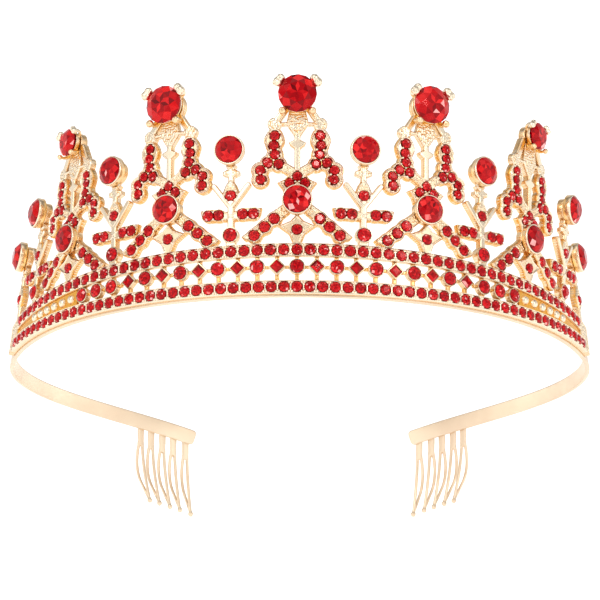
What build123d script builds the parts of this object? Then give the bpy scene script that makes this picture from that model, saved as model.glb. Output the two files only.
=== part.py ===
from build123d import *
from math import atan2, cos, degrees, hypot, radians, sin, tan
import os

os.makedirs("parts", exist_ok=True)

# A hair crown: a flat spring strip carries a jewelled gallery, five spires and eight flower
# posts, and ends in two hair combs.  Everything in front lies on one cone whose apex is above
# the head.  (u, v, w) are the distances along the strip from the front centre, up the cone
# from the strip's lower edge, and out from the strip's outer face.  Millimetres throughout.

# ---- headband ----
RIM_RADIUS = 74.3            # outer face of the strip at the front
CONE_ANGLE = radians(10.0)   # half angle of the cone the crown is curved on
LEAN_BACK = 4.5              # degrees the crown leans back as it is worn
STRIP_WIDTH = 4.0
STRIP_THICK = 1.1
STRIP_EDGE = 0.35            # rounding along the strip's edges
STRIP_END_ROUND = 0.9
CONE_REACH = 104.0           # half length of strip that follows the cone
ARM_END = (30.1, 60.0, -40.9)
ARM_END_RUN = (-0.92, 0.33, -0.35)
ARM_PULLS = (33.0, 22.0)     # Bezier handles of the free arm

# ---- gallery ----
CAST_BACK = 0.03             # solder gap between the strip and the castings
RAIL_FRONT = 1.55
RAIL_FLOOR = 0.70
RAIL_LIP = 0.32
LOWER_REACH = 99.3           # half lengths of the two rails and of the whole gallery
UPPER_REACH = 95.3
GALLERY_REACH = 102.2
LOWER_ROW_V = 2.35
LOWER_RAIL_HALF = 1.72
LOWER_PITCH = 3.205
LOWER_SIDE_COUNT = 30
UPPER_ROW_V = 12.05
UPPER_RAIL_HALF = 1.75
UPPER_PITCH = 3.335
UPPER_SIDE_COUNT = 28
TAPER_DROP = 6.2             # how far the upper rail comes down by the ends
ROW_STONE_R = 1.36
BEAD_R = 0.34
LATTICE_PITCH = 5.0
LATTICE_SIDE_COUNT = 9       # squares and rounds in turn, squares next to the centre
LATTICE_END_ROUNDS = (50.5, 55.7, 60.9)
LATTICE_CUP_R = 2.02
LATTICE_CUP_WALL = 0.30
LATTICE_SQUARE = 2.66
LATTICE_FRAME = 3.25
LATTICE_FRONT = 1.60
END_BEADS = (65.6, 69.3, 72.9, 76.4, 79.8, 83.1)
END_BEAD_R = 1.2
END_BAR_START = 63.4         # from here a plain floor closes the band

# ---- spires and posts ----
MOTIF_PITCH = 16.85
END_POST_U = 97.6            # the short posts on the ends of the gallery
END_POST_DROP = 7.4
SPIRE_SPLAY = 4.2            # degrees the outer right spire and post are bent outward
POST_SPLAY = 8.0
CAST_FRONT = 1.50            # front of the raised rims
MOTIF_BACK = -0.50           # spires and posts are cast thicker than the rails
FIELD_FRONT = 1.15           # floor the small stones stand in
STONE_SEAT = 0.55
CHIP_R = 1.21                # small stones along the arms
LARGE_CHIP_R = 1.36          # small stones that stand apart
BLOB_R = 1.98                # casting round each small stone
ARM_BLOB_R = 2.12
FIELD_R = 1.60
MID_STONE_R = 3.5
TOP_STONE_R = 5.0
SIDE_TOP_STONE_R = 3.6
BALL_STONE_R = 3.5
GAP = 0.05                   # clearance between separately made pieces

# ---- combs ----
COMB_TEETH = 5
TOOTH_PITCH = 3.65
TIP_DROP = 19.0
TAB_WIDTH = 2.1
TAB_LENGTH = 4.2
LEG_R = 0.45

APEX = RIM_RADIUS / sin(CONE_ANGLE)
LEAN = Location((0, -RIM_RADIUS, 0), (-LEAN_BACK, 0, 0)) * Location((0, RIM_RADIUS, 0))


def on_cone(u, v, w=0.0):
    """Plane on the leaning cone: x along the strip, y up the crown, z straight out."""
    slant = hypot(u, APEX - v)
    fan = atan2(u, APEX - v)
    turn = fan / sin(CONE_ANGLE)
    out = Vector(cos(CONE_ANGLE) * sin(turn), -cos(CONE_ANGLE) * cos(turn), sin(CONE_ANGLE))
    down = Vector(sin(CONE_ANGLE) * sin(turn), -sin(CONE_ANGLE) * cos(turn), -cos(CONE_ANGLE))
    across = Vector(cos(turn), sin(turn), 0)
    foot = Vector(0, 0, APEX * cos(CONE_ANGLE)) + down * slant
    flat = Plane(origin=foot + out * w, x_dir=across * cos(fan) + down * sin(fan), z_dir=out)
    return Plane(LEAN * flat.location)


def taper(u):
    return TAPER_DROP * (u / 110.0) ** 2


def upper_row(u):
    return UPPER_ROW_V - taper(u)


def lower_row(u):
    return LOWER_ROW_V


def lattice_gap(u):
    """Lower and upper edge of the open band between the two rails."""
    return lower_row(u) + LOWER_RAIL_HALF, upper_row(u) - UPPER_RAIL_HALF


def lattice_row(u):
    low, high = lattice_gap(u)
    share = 0.57 if abs(u) < 47 else 0.50
    return low + share * (high - low)


def lean_of(plane):
    """Angle by which a plane on the strip faces upward."""
    level = Vector(plane.x_dir.Y, -plane.x_dir.X, 0).normalized()
    up = level.cross(plane.x_dir)
    return atan2(plane.z_dir.dot(up), plane.z_dir.dot(level))


def arm_plane(t, side, w=0.0):
    """Plane on the free arm behind the cone, t from 0 to 1, side -1 or 1."""
    start = on_cone(CONE_REACH, 0)
    first = start.origin
    last = Vector(*ARM_END)
    a = first + start.x_dir * ARM_PULLS[0]
    b = last - Vector(*ARM_END_RUN).normalized() * ARM_PULLS[1]
    s = 1 - t
    place = first * s**3 + a * (3 * s * s * t) + b * (3 * s * t * t) + last * t**3
    run = ((a - first) * (s * s) + (b - a) * (2 * s * t) + (last - b) * (t * t)).normalized()
    level = Vector(run.Y, -run.X, 0).normalized()
    lean = lean_of(start) * (1 - t * t * (3 - 2 * t))
    out = level * cos(lean) + level.cross(run) * sin(lean)
    if side < 0:
        place = Vector(-place.X, place.Y, place.Z)
        run = Vector(run.X, -run.Y, -run.Z)
        out = Vector(-out.X, out.Y, out.Z)
    return Plane(origin=place + out * w, x_dir=run, z_dir=out)


def spot(plane, u, v):
    """Where a point of the cone falls on a motif's flat drawing plane."""
    local = plane.to_local_coords(on_cone(u, v, CAST_FRONT).origin)
    return local.X, local.Y


def cross_section(plane):
    """Plane square to the strip, x pointing out and y pointing up, at the same origin."""
    return Plane(origin=plane.origin, x_dir=plane.z_dir, z_dir=-plane.x_dir)


def splay(u0, angle):
    """Motion that bends a motif outward about the top of the rail under it."""
    foot = on_cone(u0, upper_row(u0) + UPPER_RAIL_HALF, CAST_FRONT).location
    return foot * Location((0, 0, 0), (angle, 0, 0)) * foot.inverse()


def save(builder, node, bend=Location()):
    piece = builder.part.moved(bend)
    piece.label = node
    export_step(piece, f"parts/{node}.step")


def cone_shell(inner, outer):
    """Ring of the leaning cone between two distances from the strip's face."""
    with BuildPart(mode=Mode.PRIVATE) as ring:
        with BuildSketch(Plane.XZ):
            with BuildLine():
                corners = [(inner, -40), (outer, -40), (outer, 66), (inner, 66)]
                Polyline(
                    *[(RIM_RADIUS - z * tan(CONE_ANGLE) + w / cos(CONE_ANGLE), z) for w, z in corners],
                    close=True,
                )
            make_face()
        revolve(axis=Axis.Z)
    return LEAN * ring.part


# ---- stones ----
def chip(radius, seat, girdle, table):
    """Small round stone, turned profile standing on the seat height."""
    with BuildPart(mode=Mode.PRIVATE) as stone:
        with BuildSketch(Plane.XZ):
            with BuildLine():
                Polyline(
                    (0, seat),
                    (radius * 0.72, seat),
                    (radius, girdle),
                    (radius, girdle + 0.12),
                    (radius * 0.56, table),
                    (0, table),
                    close=True,
                )
            make_face()
        revolve(axis=Axis.Z)
    return stone.part


def brilliant(radius, girdle, sides=12):
    """Large faceted stone: flat back, thin girdle, sloped crown and a flat table."""
    with BuildPart(mode=Mode.PRIVATE) as stone:
        with BuildSketch(Plane.XY.offset(girdle)):
            RegularPolygon(radius, sides)
        extrude(amount=radius * 0.06)
        with BuildSketch(Plane.XY.offset(girdle + radius * 0.06)):
            RegularPolygon(radius, sides)
        extrude(amount=radius * 0.30, taper=50)
        with BuildSketch(Plane.XY.offset(girdle)):
            RegularPolygon(radius, sides)
        extrude(amount=-radius * 0.36, taper=42)
    return stone.part


def square_chip(side, seat, girdle, table):
    with BuildPart(mode=Mode.PRIVATE) as stone:
        with BuildSketch(Plane.XY.offset(seat)):
            Rectangle(side, side, rotation=45)
        extrude(amount=girdle - seat)
        with BuildSketch(Plane.XY.offset(girdle)):
            Rectangle(side, side, rotation=45)
        extrude(amount=table - girdle, taper=40)
    return stone.part


def stone_group(node, stone, planes):
    with BuildPart() as group:
        with Locations(*[p.location for p in planes]):
            add(stone)
    save(group, node)


# ---- headband: one flat strip ----
def strip_section(plane, low, high, inner, outer, rounding):
    """Rounded rectangle across the strip, between two heights and two depths."""
    with BuildSketch(cross_section(plane), mode=Mode.PRIVATE) as outline:
        with Locations(((inner + outer) / 2, (low + high) / 2)):
            RectangleRounded(outer - inner, high - low, rounding)
    return outline.sketch.faces()[0]


cone_stations = [on_cone(u, 0) for u in range(-96, 97, 8)]
left_arm = [arm_plane(k / 10, -1) for k in range(10, -1, -1)]
right_arm = [arm_plane(k / 10, 1) for k in range(11)]

with BuildPart() as headband:
    stations = left_arm + cone_stations + right_arm
    loft(sections=[strip_section(p, 0, STRIP_WIDTH, -STRIP_THICK, 0, STRIP_EDGE) for p in stations])
    for side in (-1, 1):
        end = arm_plane(1, side)
        with BuildSketch(end.offset(-STRIP_THICK * 2)) as corners:
            with Locations((-side * STRIP_WIDTH / 2, STRIP_WIDTH / 2)):
                Rectangle(STRIP_WIDTH, STRIP_WIDTH * 2)
            with Locations((-side * STRIP_WIDTH / 2, STRIP_WIDTH / 2)):
                RectangleRounded(STRIP_WIDTH + 0.001, STRIP_WIDTH, STRIP_END_ROUND, mode=Mode.SUBTRACT)
            with Locations((-side * STRIP_WIDTH * 0.8, STRIP_WIDTH / 2)):
                Rectangle(STRIP_WIDTH * 0.8, STRIP_WIDTH * 2, mode=Mode.SUBTRACT)
        extrude(amount=STRIP_THICK * 4, mode=Mode.SUBTRACT)
save(headband, "headband")


# ---- gallery rails: open channels with a bead at each corner of every stone ----
def rail_section(plane, middle, half):
    with BuildSketch(cross_section(plane), mode=Mode.PRIVATE) as outline:
        with BuildLine():
            Polyline(
                (CAST_BACK, middle - half),
                (RAIL_FRONT, middle - half),
                (RAIL_FRONT, middle - half + RAIL_LIP),
                (RAIL_FLOOR, middle - half + RAIL_LIP),
                (RAIL_FLOOR, middle + half - RAIL_LIP),
                (RAIL_FRONT, middle + half - RAIL_LIP),
                (RAIL_FRONT, middle + half),
                (CAST_BACK, middle + half),
                close=True,
            )
        make_face()
    return outline.sketch.faces()[0]


def rail(row, half, pitch, side_count, reach):
    stations = [-reach] + [8 * k for k in range(-11, 12)] + [reach]
    joints = [(k + 0.5) * pitch for k in range(-side_count - 1, side_count + 1)]
    rise = half - RAIL_LIP - BEAD_R * 0.45
    with BuildPart() as channel:
        loft(sections=[rail_section(on_cone(u, 0), row(u), half) for u in stations])
        spots = [on_cone(u, row(u) + rise * way, RAIL_FLOOR - 0.14) for u in joints for way in (-1, 1)]
        with Locations(*[p.location for p in spots]):
            Cylinder(BEAD_R, RAIL_FRONT - RAIL_FLOOR + 0.25, align=(Align.CENTER, Align.CENTER, Align.MIN))
    return channel


lower_rail = rail(lower_row, LOWER_RAIL_HALF, LOWER_PITCH, LOWER_SIDE_COUNT, LOWER_REACH)
save(lower_rail, "lower_rail")
upper_rail = rail(upper_row, UPPER_RAIL_HALF, UPPER_PITCH, UPPER_SIDE_COUNT, UPPER_REACH)
save(upper_rail, "upper_rail")

row_stone = chip(ROW_STONE_R, RAIL_FLOOR + 0.02, 1.30, 1.95)
lower_spots = [k * LOWER_PITCH for k in range(-LOWER_SIDE_COUNT, LOWER_SIDE_COUNT + 1)]
stone_group("lower_row_stones", row_stone, [on_cone(u, lower_row(u)) for u in lower_spots])
upper_spots = [k * UPPER_PITCH for k in range(-UPPER_SIDE_COUNT, UPPER_SIDE_COUNT + 1)]
stone_group("upper_row_stones", row_stone, [on_cone(u, upper_row(u)) for u in upper_spots])


# ---- gallery lattice between the rails ----
def cup_radius(u):
    low, high = lattice_gap(u)
    middle = lattice_row(u)
    return min(LATTICE_CUP_R, middle - low - GAP, high - middle - GAP)


side_steps = range(1, LATTICE_SIDE_COUNT + 1)
squares = [s * k * LATTICE_PITCH for k in side_steps if k % 2 for s in (-1, 1)]
rounds = [0] + [s * k * LATTICE_PITCH for k in side_steps if k % 2 == 0 for s in (-1, 1)]
rounds += [s * u for u in LATTICE_END_ROUNDS for s in (-1, 1)]
end_beads = [s * u for u in END_BEADS for s in (-1, 1)]

with BuildPart() as gallery_lattice:
    cells = []
    for u in squares + rounds:
        low, high = lattice_gap(u)
        middle = lattice_row(u)
        frame = min(LATTICE_FRAME, (high - middle - GAP) * 2**0.5)
        with BuildSketch(on_cone(u, middle, CAST_BACK), mode=Mode.PRIVATE) as cell:
            if u in squares:
                Rectangle(frame, frame, rotation=45)
            else:
                Circle(cup_radius(u))
            with Locations((0, (low + high) / 2 - middle)):
                Rectangle(1.0, high - low - 2 * GAP)
            Rectangle(LATTICE_PITCH + 0.8, 0.8)
        cells.append(extrude(cell.sketch, amount=LATTICE_FRONT - CAST_BACK, mode=Mode.PRIVATE))
    add(cells)
    for side in (-1, 1):
        bar_stations = [END_BAR_START, 64, 72, 80, 88, UPPER_REACH + 1]
        sections = []
        for u in bar_stations:
            low, high = lattice_gap(side * u)
            plane = on_cone(side * u, 0)
            sections.append(strip_section(plane, low + 0.12, high - 0.12, CAST_BACK, 0.95, 0.12))
        loft(sections=sections)
        plate_at = on_cone(side * UPPER_REACH, upper_row(UPPER_REACH), CAST_BACK)
        low, high = lattice_gap(UPPER_REACH)
        corners = [
            (UPPER_REACH + 0.2, high + 2 * UPPER_RAIL_HALF),
            (GALLERY_REACH, upper_row(GALLERY_REACH) + UPPER_RAIL_HALF),
            (GALLERY_REACH, lower_row(GALLERY_REACH) - LOWER_RAIL_HALF),
            (LOWER_REACH + 0.2, lower_row(LOWER_REACH) - LOWER_RAIL_HALF),
            (LOWER_REACH + 0.2, low + 0.12),
            (UPPER_REACH + 0.2, low + 0.12),
        ]
        with BuildSketch(plate_at):
            Polygon(*[spot(plate_at, side * u, v) for u, v in corners], align=None)
        extrude(amount=RAIL_FRONT - CAST_BACK)
    with Locations(*[on_cone(u, lattice_row(u), 0.5).location for u in end_beads]):
        Cylinder(END_BEAD_R, LATTICE_FRONT - 0.5, align=(Align.CENTER, Align.CENTER, Align.MIN))
    with Locations(*[on_cone(u, lattice_row(u), FIELD_FRONT - 0.25).location for u in squares]):
        Box(LATTICE_SQUARE, LATTICE_SQUARE, 2, rotation=(0, 0, 45),
            align=(Align.CENTER, Align.CENTER, Align.MIN), mode=Mode.SUBTRACT)
    for u in rounds:
        with Locations(on_cone(u, lattice_row(u), FIELD_FRONT - 0.25).location):
            Cylinder(cup_radius(u) - LATTICE_CUP_WALL + 0.02, 2,
                     align=(Align.CENTER, Align.CENTER, Align.MIN), mode=Mode.SUBTRACT)
save(gallery_lattice, "gallery_lattice")

square_stone = square_chip(LATTICE_SQUARE - 0.06, FIELD_FRONT - 0.22, 1.60, 2.15)
stone_group("lattice_square_stones", square_stone, [on_cone(u, lattice_row(u)) for u in squares])
with BuildPart() as lattice_round_stones:
    for u in rounds:
        with Locations(on_cone(u, lattice_row(u)).location):
            add(chip(cup_radius(u) - LATTICE_CUP_WALL - 0.02, FIELD_FRONT - 0.22, 1.60, 2.35))
save(lattice_round_stones, "lattice_round_stones")


# ---- openwork castings ----
def bar(start, finish, width):
    """Straight rib between two drawing points."""
    run = (finish[0] - start[0], finish[1] - start[1])
    middle = ((start[0] + finish[0]) / 2, (start[1] + finish[1]) / 2)
    with Locations(Location((middle[0], middle[1], 0), (0, 0, degrees(atan2(run[1], run[0]))))):
        Rectangle(hypot(*run), width)


def cut_at_rail(plane, u0):
    """Trim a drawing just above the upper rail."""
    edge = []
    for k in range(-6, 7):
        u = u0 + 3.0 * k
        edge.append(spot(plane, u, upper_row(u) + UPPER_RAIL_HALF + GAP))
    Polygon((edge[0][0], edge[0][1] - 30), *edge, (edge[-1][0], edge[-1][1] - 30), align=None,
            mode=Mode.SUBTRACT)


CASTING_SHELL = cone_shell(MOTIF_BACK, CAST_FRONT)
FIELD_SHELL = cone_shell(FIELD_FRONT, CAST_FRONT + 2)


def field(plane, chains):
    """Sunk floor that runs along chains of small stones."""
    with BuildPart(mode=Mode.PRIVATE) as sunk:
        with BuildSketch(plane):
            for chain in chains:
                with Locations(*chain):
                    Circle(FIELD_R)
                for start, finish in zip(chain, chain[1:]):
                    bar(start, finish, FIELD_R)
        extrude(amount=8, both=True)
        add(FIELD_SHELL, mode=Mode.INTERSECT)
    return sunk.part


def seats(places, radius):
    """Drill the blind seats of small stones."""
    with Locations(*[on_cone(u, v, STONE_SEAT).location for u, v in places]):
        Cylinder(radius + 0.03, 3, align=(Align.CENTER, Align.CENTER, Align.MIN), mode=Mode.SUBTRACT)


LARGE_STONE = chip(LARGE_CHIP_R, STONE_SEAT + 0.02, 1.25, 1.98)


def ring_cup(u, v, radius, back, front):
    """Drum bezel that holds one large stone."""
    with BuildPart() as cup:
        with Locations(on_cone(u, v, back).location):
            Cylinder(radius + 0.45, front - back, align=(Align.CENTER, Align.CENTER, Align.MIN))
        with Locations(on_cone(u, v, back + 0.25).location):
            Cylinder(radius + 0.03, front, align=(Align.CENTER, Align.CENTER, Align.MIN), mode=Mode.SUBTRACT)
    return cup


# Spire features as (across, height) from its own centre line, at the front of the crown.
ARM_STONES = ((5.7, 42.05), (5.9, 39.55), (5.65, 37.08), (4.75, 34.6))
CURL_STONES = ((5.65, 37.08), (7.4, 34.95), (9.3, 33.1), (9.2, 30.6))
LEG_STONES = ((5.7, 20.25), (8.15, 18.1), (10.75, 15.9))
CREST_STONES = ((-1.95, 29.6), (0, 31.3), (1.95, 29.6))
KITE_STONE = (0, 17.35)
MID_STONE = (0, 24.9)
TOP_STONE = (0, 52.4)
BULB = (5.8, 45.15)
PIVOT = 24.9                 # height above which a smaller spire shrinks


def spire(name, u0, shrink, top_r, angle=0):
    fall = taper(u0)
    bend = splay(u0, angle)

    def height(v):
        return (v if v < PIVOT else PIVOT + (v - PIVOT) * shrink) - fall

    plane = on_cone(u0, 26 - fall)

    def at(x, v):
        return spot(plane, u0 + x, height(v))

    def both(points):
        return [[at(s * x, v) for x, v in points] for s in (-1, 1)]

    reach = 5.0 - top_r
    chains = both(ARM_STONES) + both(CURL_STONES) + both(LEG_STONES)
    with BuildPart() as casting:
        with BuildSketch(plane):
            for chain, blob in zip(chains, [ARM_BLOB_R] * 4 + [BLOB_R] * 2):
                with Locations(*chain):
                    Circle(blob)
                for start, finish in zip(chain, chain[1:]):
                    bar(start, finish, blob * 1.5)
            for s in (-1, 1):
                with Locations(at(s * 5.8, 40.9)):
                    Circle(2.65)
                with Locations(at(s * 9.45, 33.1), at(s * 9.4, 30.6)):
                    Circle(2.25)
                with Locations(at(s * BULB[0], BULB[1])):
                    Circle(1.75)
                bar(at(s * BULB[0], BULB[1]), at(s * 5.7, 42.05), 2.4)
                bar(at(s * BULB[0], BULB[1]), at(s * 2.9, 49.4 + reach), 1.7)
                bar(at(s * BULB[0], BULB[1]), at(s * 2.2, 45.3), 0.8)
                bar(at(s * 4.75, 34.6), at(s * 0.8, 31.9), 2.6)
                Polygon(
                    at(0, 33.4), at(s * 1.9, 32.1), at(s * 3.2, 30.6), at(s * 5.1, 29.7), at(s * 3.8, 28.0),
                    at(s * 3.3, 26.4), at(0, 25.6), align=None,
                )
                bar(at(s * 2.0, 23.4), at(s * 5.9, 20.2), 3.3)
                Polygon(
                    at(s * 5.2, 22.9), at(s * 14.1, 15.75), at(s * 13.2, 14.6), at(s * 9.5, 14.9),
                    at(s * 5.4, 19.5), align=None,
                )
                Polygon(
                    at(0, 21.6), at(s * 1.7, 19.7), at(s * 4.9, 18.3), at(s * 2.1, 16.2),
                    at(s * 1.2, 14.0), at(s * 1.2, 12.4), at(0, 12.4), align=None,
                )
            with Locations(at(*TOP_STONE)):
                Circle(top_r * 0.84)
            Polygon(
                at(-2.1, 48.7 + reach), at(2.1, 48.7 + reach), at(2.9, 45.2), at(0, 40.8), at(-2.9, 45.2),
                align=None,
            )
            Polygon(at(0, 41.2), at(1.95, 40.1), at(0, 38.4), at(-1.95, 40.1), align=None)
            bar(at(0, 42.4), at(0, 31.6), 1.4)
            with Locations(at(*MID_STONE)):
                Circle(3.5)
            with Locations(at(*TOP_STONE)):
                Circle(top_r * 0.45, mode=Mode.SUBTRACT)
            cut_at_rail(plane, u0)
        extrude(amount=8, both=True)
        add(CASTING_SHELL, mode=Mode.INTERSECT)
        sunk = chains + [[at(*KITE_STONE)], [at(x, v) for x, v in CREST_STONES]]
        add(field(plane, sunk), mode=Mode.SUBTRACT)
        fine = [(s * x, v) for x, v in ARM_STONES + CURL_STONES[1:] for s in (-1, 1)]
        fine = [(u0 + x, height(v)) for x, v in fine + list(CREST_STONES)]
        large = [(s * x, v) for x, v in LEG_STONES for s in (-1, 1)]
        large = [(u0 + x, height(v)) for x, v in large + [KITE_STONE]]
        seats(fine, CHIP_R * shrink)
        seats(large, LARGE_CHIP_R)
    save(casting, f"spire_{name}", bend)
    with BuildPart() as spire_stones:
        with Locations(*[on_cone(u, v).location for u, v in fine]):
            add(chip(CHIP_R * shrink, STONE_SEAT + 0.02, 1.25, 1.90))
        with Locations(*[on_cone(u, v).location for u, v in large]):
            add(LARGE_STONE)
    save(spire_stones, f"spire_stones_{name}", bend)

    mid = height(MID_STONE[1])
    cup = ring_cup(u0, mid, MID_STONE_R, CAST_FRONT + GAP, 3.15)
    save(cup, f"mid_cup_{name}", bend)
    with BuildPart() as mid_stone:
        with Locations(on_cone(u0, mid).location):
            add(brilliant(MID_STONE_R, 3.10))
    save(mid_stone, f"mid_stone_{name}", bend)

    top = height(TOP_STONE[1])
    girdle = 2.35 + top_r * 0.36
    with BuildPart() as claws:
        ratio = top_r / TOP_STONE_R
        feet = [(s * 4.9 * ratio, 3.4 * ratio) for s in (-1, 1)]
        feet += [(s * 3.8 * ratio, -4.6 * ratio) for s in (-1, 1)]
        with BuildSketch(on_cone(u0, top, CAST_FRONT + GAP)):
            Circle(top_r * 0.80)
            for foot in feet:
                bar((0, 0), foot, 1.5 * ratio)
            Circle(top_r * 0.45, mode=Mode.SUBTRACT)
        extrude(amount=0.75)
        with Locations(on_cone(u0, top, CAST_FRONT + GAP).location):
            with Locations(*feet):
                Cylinder(0.70 * ratio, girdle - 1.0, align=(Align.CENTER, Align.CENTER, Align.MIN))
        with Locations(on_cone(u0, top, girdle + 0.55).location):
            with Locations(*feet):
                Sphere(0.86 * ratio)
    save(claws, f"claw_setting_{name}", bend)
    with BuildPart() as top_stone:
        with Locations(on_cone(u0, top).location):
            add(brilliant(top_r, girdle, 16))
    save(top_stone, f"top_stone_{name}", bend)


spire("centre", 0, 1.0, TOP_STONE_R)
spire("inner_left", -2 * MOTIF_PITCH, 1.0, TOP_STONE_R)
spire("inner_right", 2 * MOTIF_PITCH, 1.0, TOP_STONE_R)
spire("outer_left", -4 * MOTIF_PITCH, 0.95, SIDE_TOP_STONE_R)
spire("outer_right", 4 * MOTIF_PITCH, 1.0, SIDE_TOP_STONE_R, SPIRE_SPLAY)


# ---- flower posts ----
small_seats = []
ball_seats = []
base_seats = []


def post(name, u0, shrink, angle=0, short=False):
    """Ball stone on a stem; a short post is just the top half, standing on the gallery's end."""
    fall = taper(u0) + (END_POST_DROP if short else 0)
    bend = splay(u0, angle)

    def height(v):
        return 13.9 + (v - 13.9) * shrink - fall

    plane = on_cone(u0, height(28))

    def at(x, v):
        return spot(plane, u0 + x, height(v))

    with BuildPart() as casting:
        with BuildSketch(plane):
            with Locations(at(0, 38.55)):
                Circle(3.0)
            bar(at(0, 36), at(0, 29), 1.5)
            Polygon(
                at(-1.5, 34.9), at(1.5, 34.9), at(0.9, 33.9), at(2.2, 33.3), at(2.2, 32.3), at(0.9, 31.8),
                at(-0.9, 31.8), at(-2.2, 32.3), at(-2.2, 33.3), at(-0.9, 33.9), align=None,
            )
            Polygon(
                at(0, 31.4), at(1.3, 29.9), at(2.35, 27.2), at(1.5, 25.4), at(0, 23.7), at(-1.5, 25.4),
                at(-2.35, 27.2), at(-1.3, 29.9), align=None,
            )
            if short:
                bar(at(0, 25), at(0, 19.5), 2.0)
            else:
                for s in (-1, 1):
                    bar(at(0, 23.6), at(s * 4.85, 27.95), 1.35)
                    with Locations(at(s * 3.1, 21.85), at(s * 5.85, 21.85)):
                        Circle(1.65)
                    bar(at(0, 21.4), at(s * 5.7, 21.75), 2.5)
                    Polygon(
                        at(s * 2.4, 23.3), at(s * 5.4, 23.6), at(s * 8.0, 23.3), at(s * 7.6, 21.5),
                        at(s * 5.6, 20.35), at(s * 2.4, 20.3), align=None,
                    )
                bar(at(0, 25), at(0, 12.8), 1.6)
                with Locations(at(0, 16.45)):
                    Circle(2.15)
                bar(at(0, 16.4), at(0, 12.8), 2.6)
            cut_at_rail(plane, u0)
        extrude(amount=6, both=True)
        add(CASTING_SHELL, mode=Mode.INTERSECT)
        chains = [[at(0, 26.9)]]
        places = [(u0, height(26.9))]
        if not short:
            chains += [[at(s * 3.1, 21.85), at(s * 5.85, 21.85)] for s in (-1, 1)]
            places += [(u0 + x, height(21.85)) for x in (-5.85, -3.1, 3.1, 5.85)]
            with Locations(on_cone(u0, height(16.45), FIELD_FRONT - 0.3).location):
                Cylinder(1.80, 3, align=(Align.CENTER, Align.CENTER, Align.MIN), mode=Mode.SUBTRACT)
        add(field(plane, chains), mode=Mode.SUBTRACT)
        seats(places, LARGE_CHIP_R)
    save(casting, f"post_{name}", bend)
    ball = height(38.55)
    cup = ring_cup(u0, ball, BALL_STONE_R, CAST_FRONT + GAP, 3.45)
    save(cup, f"ball_cup_{name}", bend)
    small_seats.extend(bend * on_cone(u, v).location for u, v in places)
    ball_seats.append(bend * on_cone(u0, ball).location)
    if not short:
        base_seats.append(bend * on_cone(u0, height(16.45)).location)


for word, side in (("left", -1), ("right", 1)):
    post(f"inner_{word}", side * MOTIF_PITCH, 1.0)
    post(f"middle_{word}", side * 3 * MOTIF_PITCH, 1.0)
    post(f"end_{word}", side * END_POST_U, 1.0, short=True)
post("outer_left", -5 * MOTIF_PITCH - 0.45, 0.98)
post("outer_right", 5 * MOTIF_PITCH, 1.0, POST_SPLAY)

with BuildPart() as post_stones:
    with Locations(*small_seats):
        add(LARGE_STONE)
    with Locations(*base_seats):
        add(chip(1.75, FIELD_FRONT - 0.28, 1.60, 2.40))
save(post_stones, "post_stones")
with BuildPart() as ball_stones:
    with Locations(*ball_seats):
        add(brilliant(BALL_STONE_R, 3.30))
save(ball_stones, "ball_stones")


# ---- side combs ----
def arm_share(distance):
    """Arm parameter at a distance along the strip from its end."""
    t = 1.0
    gone = 0.0
    last = arm_plane(t, 1).origin
    while gone < distance:
        t -= 0.004
        here = arm_plane(t, 1).origin
        gone += (here - last).length
        last = here
    return t


def comb(side):
    front_step = -side
    with BuildPart() as body:
        span = (COMB_TEETH - 1) * TOOTH_PITCH + TAB_WIDTH + 0.3
        shares = [arm_share(0.3 + span * k / 4) for k in range(5)]
        loft(sections=[strip_section(arm_plane(t, side), 0.7, 3.3, GAP, 0.85, 0.15) for t in shares])
        for k in range(COMB_TEETH):
            hold = arm_plane(arm_share(0.4 + TAB_WIDTH / 2 + k * TOOTH_PITCH), side)
            run = Vector(hold.x_dir.X, hold.x_dir.Y, 0).normalized()
            upright = Plane(origin=hold.origin, x_dir=run, z_dir=run.cross(Vector(0, 0, 1)))
            with BuildSketch(upright.offset(GAP + 0.02)):
                with Locations((0, (1.4 - TAB_LENGTH) / 2)):
                    RectangleRounded(TAB_WIDTH, TAB_LENGTH + 1.4, 0.3)
            extrude(amount=0.75)
            bowed = [
                (0.52, -3.3, 0.45), (0.75, -6.0, 0.9), (0.80, -9.0, 1.1),
                (0.62, -12.5, 0.5), (0.30, -15.5, -1.2), (0.03, -18.6, -3.3),
            ]
            straight = [
                (-0.50, -3.3, 0.45), (-0.45, -6.0, 0.2), (-0.38, -9.0, -0.3),
                (-0.28, -12.5, -1.2), (-0.12, -15.5, -2.3), (0, -18.6, -3.6),
            ]
            for leg in (bowed, straight):
                with BuildLine() as wire:
                    Spline(*[upright.from_local_coords((front_step * x, y, z)) for x, y, z in leg])
                with BuildSketch(Plane(origin=wire.line @ 0, z_dir=wire.line % 0)):
                    Circle(LEG_R)
                sweep()
            with Locations(upright.from_local_coords((0, -TIP_DROP, -3.6))):
                Sphere(0.72)
    return body


save(comb(-1), "comb_left")
save(comb(1), "comb_right")
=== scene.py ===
from math import cos, hypot, pi, radians, sin

import bpy
import numpy as np
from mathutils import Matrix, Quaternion, Vector

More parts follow.
